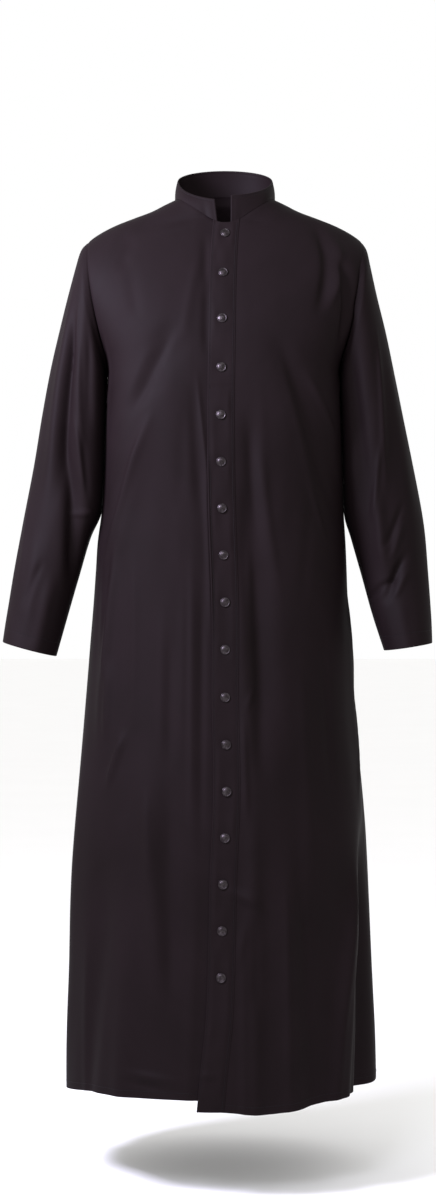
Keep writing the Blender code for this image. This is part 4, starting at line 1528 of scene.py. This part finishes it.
@dataclass
class BackPanel:
    """The back, one panel from the wearer's left side seam round to the right one."""

    torso: Torso
    name: str = "back"
    columns: int = 136
    upper_rows: int = 76
    skirt_rows: int = 236
    width: float = 0.55
    upper_length: float = 0.28
    skirt_length: float = 1.13
    neck_share: float = 10 / 24
    stitch_line: Line = field(init=False)

    def top_edge(self, u: Array) -> Array:
        """Places up the left shoulder seam, along the neckline and down the right seam."""
        edge = (1 - self.neck_share) / 2
        up = np.clip(1 - u / edge, 0, 1)
        down = np.clip((u - (1 - edge)) / edge, 0, 1)
        angle = QUARTER + 2 * QUARTER * np.clip((u - edge) / self.neck_share, 0, 1)
        on_neck = (u > edge) & (u < 1 - edge)
        seam = (up + down) * self.torso.shoulder_tip
        return pair(angle, np.where(on_neck, self.torso.neck_height(angle), seam))

    def places(self) -> Array:
        """The panel's grid of (angle, height): a patch above the underarm, then even rows."""
        torso = self.torso
        u = shares(self.columns, self.width)
        v = shares(self.upper_rows, self.upper_length, last=False)
        turns = 2 * math.pi - math.pi * v
        left = pair(*torso.armhole_place(turns, Side.LEFT))
        right = pair(*torso.armhole_place(turns, Side.RIGHT))
        right[:, 0] += 2 * math.pi
        left[[0, -1], 0] = QUARTER
        right[[0, -1], 0] = 3 * QUARTER
        angles = QUARTER + 2 * QUARTER * u
        upper = patch(u, v, self.top_edge(u), pair(angles, torso.underarm), left, right)
        fall = shares(self.skirt_rows, self.skirt_length, first=False)[1:, None]
        hem = read(HEM_BACK, "height", np.degrees(angles))
        return np.concatenate([upper, pair(angles, torso.underarm + (hem - torso.underarm) * fall)])

    def build(self, material: Material) -> None:
        """Make the back as a thin wall with seam grooves and a turned hem.

        Args:
            material: the cloth.
        """
        reading = self.torso.read_at(self.places())
        from_seam = np.minimum(np.minimum(reading.across, reading.from_end), reading.along)
        full = rounding(reading.from_hem, EDGE_RADIUS)
        surface = (reading.point, reading.normal)
        outer, inner = hemmed(surface, from_seam, reading.from_hem, HEM_FOLD, full)
        piece = wall(self.name, outer, inner, pair(reading.across, -reading.along), material)
        settle(piece, "twill", self.name)
        self.stitch_line = reading.above_hem(HEM_FOLD)


@dataclass
class Sleeve:
    """A set-in sleeve: a tube from just outside the armhole seam to the cuff.

    A ring is an ellipse through its outer and inner points, whose depth runs front to back. Its
    inner half can be squarer than that. Near the armhole it keeps part of that seam's bow away
    from the flat ring.
    """

    torso: Torso
    side: Side
    rings: tuple[Ring, ...]
    folds: tuple[Fold, ...]
    name: str
    columns: int = 140
    rows: int = 270
    length: float = 0.66
    clearance: float = 0.0010
    press_softness: float = 0.0007
    cuff_fold: float = 0.022
    seam_fade: float = 0.9
    seam_lap: float = 0.0002
    lap_fade: float = 0.5
    drift: Drift = Drift((0.030, 0.085), 0.0007, 17)
    drift_start: float = 0.3
    drift_fade: float = 2.0
    drift_radius: float = 0.07
    ring_spacing: float = 0.065
    stitch_line: Line = field(init=False)

    def point(self, turn: Array, place: Array) -> Array:
        """Points of the outer face at each turn and ring number, pressed clear of the torso."""
        numbers = range(len(self.rings))
        place = np.clip(place, 0, numbers[-1])
        column = {name: smooth(numbers, [getattr(ring, name) for ring in self.rings], place)
                  for name in Ring._fields}
        torso = self.torso
        cosine = np.cos(turn)
        seam_z = torso.armhole_middle + torso.armhole_half_height * cosine
        seam_x = by_side(ARMHOLE, self.side is Side.LEFT, seam_z)
        first = self.rings[0]
        flat_x = (first.outer_x * (1 + cosine) + first.inner_x * (1 - cosine)) / 2
        middle_x = (column["outer_x"] + column["inner_x"]) / 2 + column["bow"] * (seam_x - flat_x)
        middle_z = (column["outer_z"] + column["inner_z"]) / 2
        power = np.where(cosine < 0, column["squareness"], 2.0)
        full = (np.abs(cosine) ** power + np.abs(np.sin(turn)) ** power) ** (-1 / power)
        spoke = full[..., None] * np.stack([
            cosine * (column["outer_x"] - column["inner_x"]) / 2,
            -np.sin(turn) * column["half_depth"],
            cosine * (column["outer_z"] - column["inner_z"]) / 2], axis=-1)
        length = np.linalg.norm(spoke, axis=-1)
        girth = np.mod(turn, 2 * math.pi) * self.drift_radius
        drift = self.drift.at(girth, place * self.ring_spacing)
        relief = folds_at(self.folds, turn, place, length)
        relief = relief + ease((place - self.drift_start) / self.drift_fade) * drift
        middle = np.stack([middle_x, -column["forward"], middle_z], axis=-1)
        points = middle + spoke * (1 + relief / length)[..., None]
        return self.rest_on_torso(points * (self.side.value, 1, 1))

    def rest_on_torso(self, points: Array) -> Array:
        """Press points out, away from the torso's axis, where they would enter its side.

        The pressed distance is the soft maximum of a point's own distance from the axis and
        that of the torso's face with the sleeve's clearance.
        """
        angle = np.arctan2(points[..., 0], -points[..., 1])
        height = points[..., 2]
        face = self.torso.point(angle, height)[..., :2]
        least = np.linalg.norm(face, axis=-1) + self.clearance
        own = np.linalg.norm(points[..., :2], axis=-1)
        pressed = (own + least) / 2 + np.hypot((own - least) / 2, self.press_softness)
        share = np.where(height < self.torso.underarm, pressed / own, 1.0)
        return points * np.stack([share, share, np.ones_like(share)], axis=-1)

    def seam_ring(self, turns: Array, normals: Array) -> Array:
        """Points of the sleeve's first ring, which laps the armhole seam a little.

        Args:
            turns: turn of each point.
            normals: outward directions of the sleeve there.

        Returns:
            The points: higher than the torso's face where the sleeve turns away from it.
        """
        angle, height = self.torso.armhole_place(turns, self.side)
        seam = self.torso.point(angle, height)
        panel_normal = self.torso.normal(angle, height)
        seam_run = np.roll(seam, -1, axis=0) - np.roll(seam, 1, axis=0)
        away = unit(np.cross(panel_normal, seam_run)) * self.side.value
        level = ease(np.sum(panel_normal * normals, axis=-1) / self.lap_fade)[:, None]
        return seam + self.seam_lap * (1 - level) * panel_normal - self.seam_lap * away

    def build(self, material: Material) -> None:
        """Make the sleeve as a thin tube that starts on the armhole seam, with a turned cuff.

        Args:
            material: the cloth.
        """
        turns = np.linspace(0, 2 * math.pi, self.columns, endpoint=False)
        stations = (len(self.rings) - 1) * shares(self.rows, self.length)
        turn, place = np.meshgrid(turns, stations)
        surface = self.point(turn, place)
        normal = facing(self.point, turn, place) * self.side.value
        share = (1 - ease(stations / self.seam_fade))[:, None, None]
        surface = surface + (self.seam_ring(turns, normal[0]) - surface[0]) * share
        along = lengths(surface, 0)
        around = lengths(np.concatenate([surface, surface[:, :1]], axis=1), 1)[:, :-1]
        from_cuff = along[-1:] - along
        full = rounding(from_cuff, EDGE_RADIUS)
        outer, inner = hemmed((surface, normal), along, from_cuff, self.cuff_fold, full)
        uv = pair(self.side.value * around, -along)
        piece = wall(self.name, outer, inner, uv, material, Closing.TUBE)
        settle(piece, "twill", self.name)
        spot = rows_at(from_cuff, self.cuff_fold)
        self.stitch_line = (outer[spot], normal[spot])


@dataclass
class Collar:
    """The standing collar: a band from the neckline to a tilted oval rim, open at the front."""

    torso: Torso
    name: str = "collar"
    columns: int = 190
    rows: int = 26
    length: float = 0.43
    width: float = 0.045
    rim_half_width: float = 0.0755
    rim_front: float = 0.064
    rim_back: float = 0.056
    rim_height: float = 0.033
    right_drop: float = 0.0415
    left_drop: float = 0.0350
    back_rise: float = 0.026
    bulge: float = 0.0015
    seam_lap: float = 0.0003
    left_end: Pair = (0.0088, 0.0090)
    right_end: Pair = (-0.0120, -0.0163)
    edge_radius: float = 0.0020
    stitch_inset: float = 0.0045
    stitch_depth: float = 0.00025
    widest_end: float = 0.5
    end_steps: int = 401
    stitch_line: Line = field(init=False)

    def point(self, angle: Array, lift: Array) -> Array:
        """Points of the outer face; lift is 0 on the neckline and 1 on the rim.

        The rim is an ellipse in a tilted plane, and the band between bows out a little.
        """
        sine, cosine = np.sin(angle), np.cos(angle)
        base = self.torso.point(angle, self.torso.neck_height(angle)) - (0, 0, self.seam_lap)
        depth = np.where(cosine > 0, self.rim_front, self.rim_back)
        front_drop = np.where(sine < 0, self.right_drop, self.left_drop)
        fall = np.where(cosine > 0, front_drop, self.back_rise)
        rim = np.stack([
            self.rim_half_width * sine, -depth * cosine, self.rim_height - fall * cosine], axis=-1)
        outward = np.stack([sine, -cosine, 0 * angle], axis=-1)
        share = np.asarray(lift)[..., None]
        return base + (rim - base) * share + outward * self.bulge * np.sin(math.pi * share)

    def end_angle(self, lift: Array, ends: Pair) -> Array:
        """Angle at each lift where the band ends, at a distance across given at foot and rim."""
        tried = np.linspace(-self.widest_end, self.widest_end, self.end_steps)
        grid = self.point(tried[None] + 0 * lift[:, None], lift[:, None] + 0 * tried[None])
        across = ends[0] + (ends[1] - ends[0]) * lift
        return np.array([np.interp(x, row, tried) for x, row in zip(across, grid[..., 0])])

    def build(self, material: Material) -> None:
        """Make the collar as a wall with rounded edges and a groove where its edge stitching lies.

        Args:
            material: the cloth.
        """
        lift = shares(self.rows, self.width)
        start = self.end_angle(lift, self.left_end)[:, None]
        end = self.end_angle(lift, self.right_end)[:, None] + 2 * math.pi
        angle = start + (end - start) * shares(self.columns, self.length)
        lifts = lift[:, None] + 0 * angle
        face = self.point(angle, lifts)
        normal = facing(self.point, angle, lifts)
        across = lengths(face, 1)
        up = lengths(face, 0)
        from_end = np.minimum(across, across[:, -1:] - across)
        from_rim = up[-1:] - up
        from_edge = np.minimum(from_end, from_rim)
        full = rounding(from_edge, self.edge_radius)
        dip = -self.stitch_depth * bell(from_edge - self.stitch_inset, STITCH_HALF_WIDTH)
        outer = raised(face, normal, dip - COLLAR_CLOTH / 2 * (1 - full))
        inner = raised(face, normal, -dip - COLLAR_CLOTH / 2 * (1 + full))
        piece = wall(self.name, outer[::-1], inner[::-1], pair(across, up)[::-1], material)
        settle(piece, "collar_twill", self.name)
        spot = rows_at(from_rim, self.stitch_inset)
        clear = from_end[spot] > self.stitch_inset
        self.stitch_line = (outer[spot][clear], normal[spot][clear])


class CapRing(NamedTuple):
    """A point of half a snap cap's section."""

    radius: float
    rise: float


@dataclass
class SnapRow:
    """The snap buttons: pressed caps with a rolled rim round a low dome, each turned a little.

    A cap is its half section spun round the normal of the cloth. Its dome is crossed by faint
    spokes, a wave round the turn that fades towards the middle and the rim.
    """

    torso: Torso
    sides: int = 48
    spokes: int = 12
    spoke_depth: float = 0.00005
    spoke_start: float = 0.0010
    spoke_fade_in: float = 0.0015
    spoke_end: float = 0.0056
    spoke_fade_out: float = 0.0010
    dome_foot: float = 0.0010
    tilt: float = 2.5
    seed: int = 5
    section: tuple[CapRing, ...] = make_table(
        CapRing,
        (0.0000, 0.0000),
        (0.0040, 0.0000),
        (0.0066, 0.0001),
        (0.0073, 0.0004),
        (0.0075, 0.0009),
        (0.0073, 0.0014),
        (0.0069, 0.0017),
        (0.0065, 0.0017),
        (0.0061, 0.0014),
        (0.0058, 0.0013),
        (0.0054, 0.0015),
        (0.0048, 0.0019),
        (0.0040, 0.0022),
        (0.0030, 0.0025),
        (0.0018, 0.0027),
        (0.0008, 0.00275),
        (0.0000, 0.0028),
    )

    def cap(self) -> tuple[Array, list]:
        """Points of one cap about its foot, with its axis up, and the point numbers of its faces."""
        turns = np.arange(self.sides) * 2 * math.pi / self.sides
        radius, rise = np.array(self.section)[1:-1].T[..., None]
        domed = ease((radius - self.spoke_start) / self.spoke_fade_in)
        domed = domed * ease((self.spoke_end - radius) / self.spoke_fade_out)
        wave = self.spoke_depth * domed * (rise > self.dome_foot) * np.cos(self.spokes * turns)
        rings = np.stack([radius * np.cos(turns), radius * np.sin(turns), rise + wave], axis=-1)
        ends = [np.array([[0.0, 0.0, self.section[k].rise]]) for k in (0, -1)]
        points = np.concatenate([ends[0], rings.reshape(-1, 3), ends[1]])
        number = 1 + np.arange(rings[..., 0].size).reshape(rings.shape[:2])
        number = np.concatenate([number, number[:, :1]], axis=1)
        under = [(0, b, a) for a, b in zip(number[0].tolist(), number[0, 1:].tolist())]
        over = [(len(points) - 1, a, b) for a, b in zip(number[-1].tolist(), number[-1, 1:].tolist())]
        return points, cells(number)[:, (0, 3, 2, 1)].tolist() + under + over

    def build(self, material: Material) -> None:
        """Make one cap for each snap, seated on the placket, from the neck down.

        Args:
            material: the metal.
        """
        heights = self.torso.button_heights
        angle = self.torso.beside_buttons(0.0, heights)
        normals = self.torso.normal(angle, heights)
        seats = raised(self.torso.point(angle, heights), normals, SEAM_GAP + PLACKET_CLOTH + BUTTON_GAP)
        local, faces = self.cap()
        chance = np.random.default_rng(self.seed)
        for index, (seat, normal) in enumerate(zip(seats, normals), start=1):
            lean = np.radians(chance.uniform(-self.tilt, self.tilt, 2))
            towards = Vector(normal + (lean[0], 0, lean[1])).normalized()
            spin = towards.to_track_quat("Z", "Y").to_matrix()
            cap = put_mesh(f"snap_cap_{index:02d}", local @ np.array(spin).T + seat, faces, material)
            recalculate_outward(cap)
            settle(cap, "snap_metal", f"button_{index:02d}")


class Lamp(NamedTuple):
    """A square area light: its place, the point it faces, its width, its power and its colour."""

    name: str
    place: tuple[float, float, float]
    aim: tuple[float, float, float]
    size: float
    power: float
    colour: str


@dataclass
class Studio:
    """Floor, soft lights, surroundings and the camera that stands in front of the garment."""

    floor_height: float = -1.542
    floor_size: float = 60.0
    camera_place: tuple[float, float, float] = (-0.0112, -3.5, -0.6384)
    camera_reach: float = 200.0
    frame_height: float = 1.92
    film: float = 36.0
    room: float = 1.0
    room_colour: str = "ffffff"
    lamps: tuple[Lamp, ...] = make_table(
        Lamp,
        ("key", (-0.95, -0.72, 0.14), (-0.1, 0.0, -0.3), 0.5, 56.0, "e5e4ff"),
        ("fill", (-0.45, -1.8, 0.6), (-0.1, 0.0, -0.45), 0.6, 14.0, "eef0ff"),
    )

    def put_lamp(self, row: Lamp) -> None:
        """Put up a light that the camera doesn't see itself."""
        lamp = bpy.data.lights.new(row.name, "AREA")
        lamp.shape = "SQUARE"
        lamp.size = row.size
        lamp.energy = row.power
        lamp.color = linear(row.colour)[:3]
        made = put(row.name, lamp)
        made.location = row.place
        ahead = Vector(row.aim) - Vector(row.place)
        made.rotation_euler = ahead.to_track_quat("-Z", "Y").to_euler()
        made.visible_camera = False

    def surroundings(self) -> None:
        """Make an evenly white room."""
        world = bpy.data.worlds.new("studio")
        world.use_nodes = True
        bpy.context.scene.world = world
        back = world.node_tree.nodes["Background"]
        back.inputs["Color"].default_value = linear(self.room_colour)
        back.inputs["Strength"].default_value = self.room

    def build(self) -> None:
        """Put up the floor, the lights and the camera."""
        half = self.floor_size / 2
        corners = [(-half, -half), (half, -half), (half, half), (-half, half)]
        points = np.array([(x, y, self.floor_height) for x, y in corners])
        put_mesh("floor", points, [(0, 1, 2, 3)], StudioPaper().make())
        self.surroundings()
        for row in self.lamps:
            self.put_lamp(row)
        data = bpy.data.cameras.new("camera")
        data.sensor_fit = "VERTICAL"
        data.sensor_height = self.film
        data.lens = self.film * -self.camera_place[1] / self.frame_height
        data.clip_end = self.camera_reach
        camera = put("camera", data)
        camera.location = self.camera_place
        camera.rotation_euler = (QUARTER, 0.0, 0.0)
        bpy.context.scene.camera = camera
        bpy.context.scene.view_settings.view_transform = "Standard"


@dataclass
class Cassock:
    """The whole garment: fronts, placket, back, sleeves, collar, snaps and stitching."""

    torso: Torso = field(default_factory=Torso)
    finishes: Finishes = field(default_factory=Finishes)

    def build(self) -> None:
        """Build every piece in the order a maker would join them."""
        twill = self.finishes.twill
        right = FrontPanel(self.torso, Side.RIGHT, HEM_RIGHT_FRONT, "front_right")
        left = FrontPanel(self.torso, Side.LEFT, HEM_LEFT_FRONT, "front_left")
        band = PlacketBand(left)
        back = BackPanel(self.torso)
        sleeves = [
            Sleeve(self.torso, Side.LEFT, SLEEVE_LEFT, SLEEVE_LEFT_FOLDS, "sleeve_left"),
            Sleeve(self.torso, Side.RIGHT, SLEEVE_RIGHT, SLEEVE_RIGHT_FOLDS, "sleeve_right"),
        ]
        for part in (right, left, band, back, *sleeves):
            part.build(twill)
        collar = Collar(self.torso)
        collar.build(self.finishes.collar)
        SnapRow(self.torso).build(self.finishes.snap)
        stitching = Stitching(self.finishes.thread)
        stitching.sew("placket_stitches", "twill", band.lines())
        stitching.sew("hem_stitches", "twill", [panel.stitch_line for panel in (left, right, back)])
        stitching.sew("cuff_stitches", "twill", [sleeve.stitch_line for sleeve in sleeves])
        stitching.sew("collar_stitches", "collar_twill", [collar.stitch_line])


def main() -> None:
    """Build the studio and the garment."""
    logging.basicConfig(level=logging.INFO, format="%(name)s: %(message)s")
    Studio().build()
    Cassock().build()


if __name__ == "__main__":
    main()
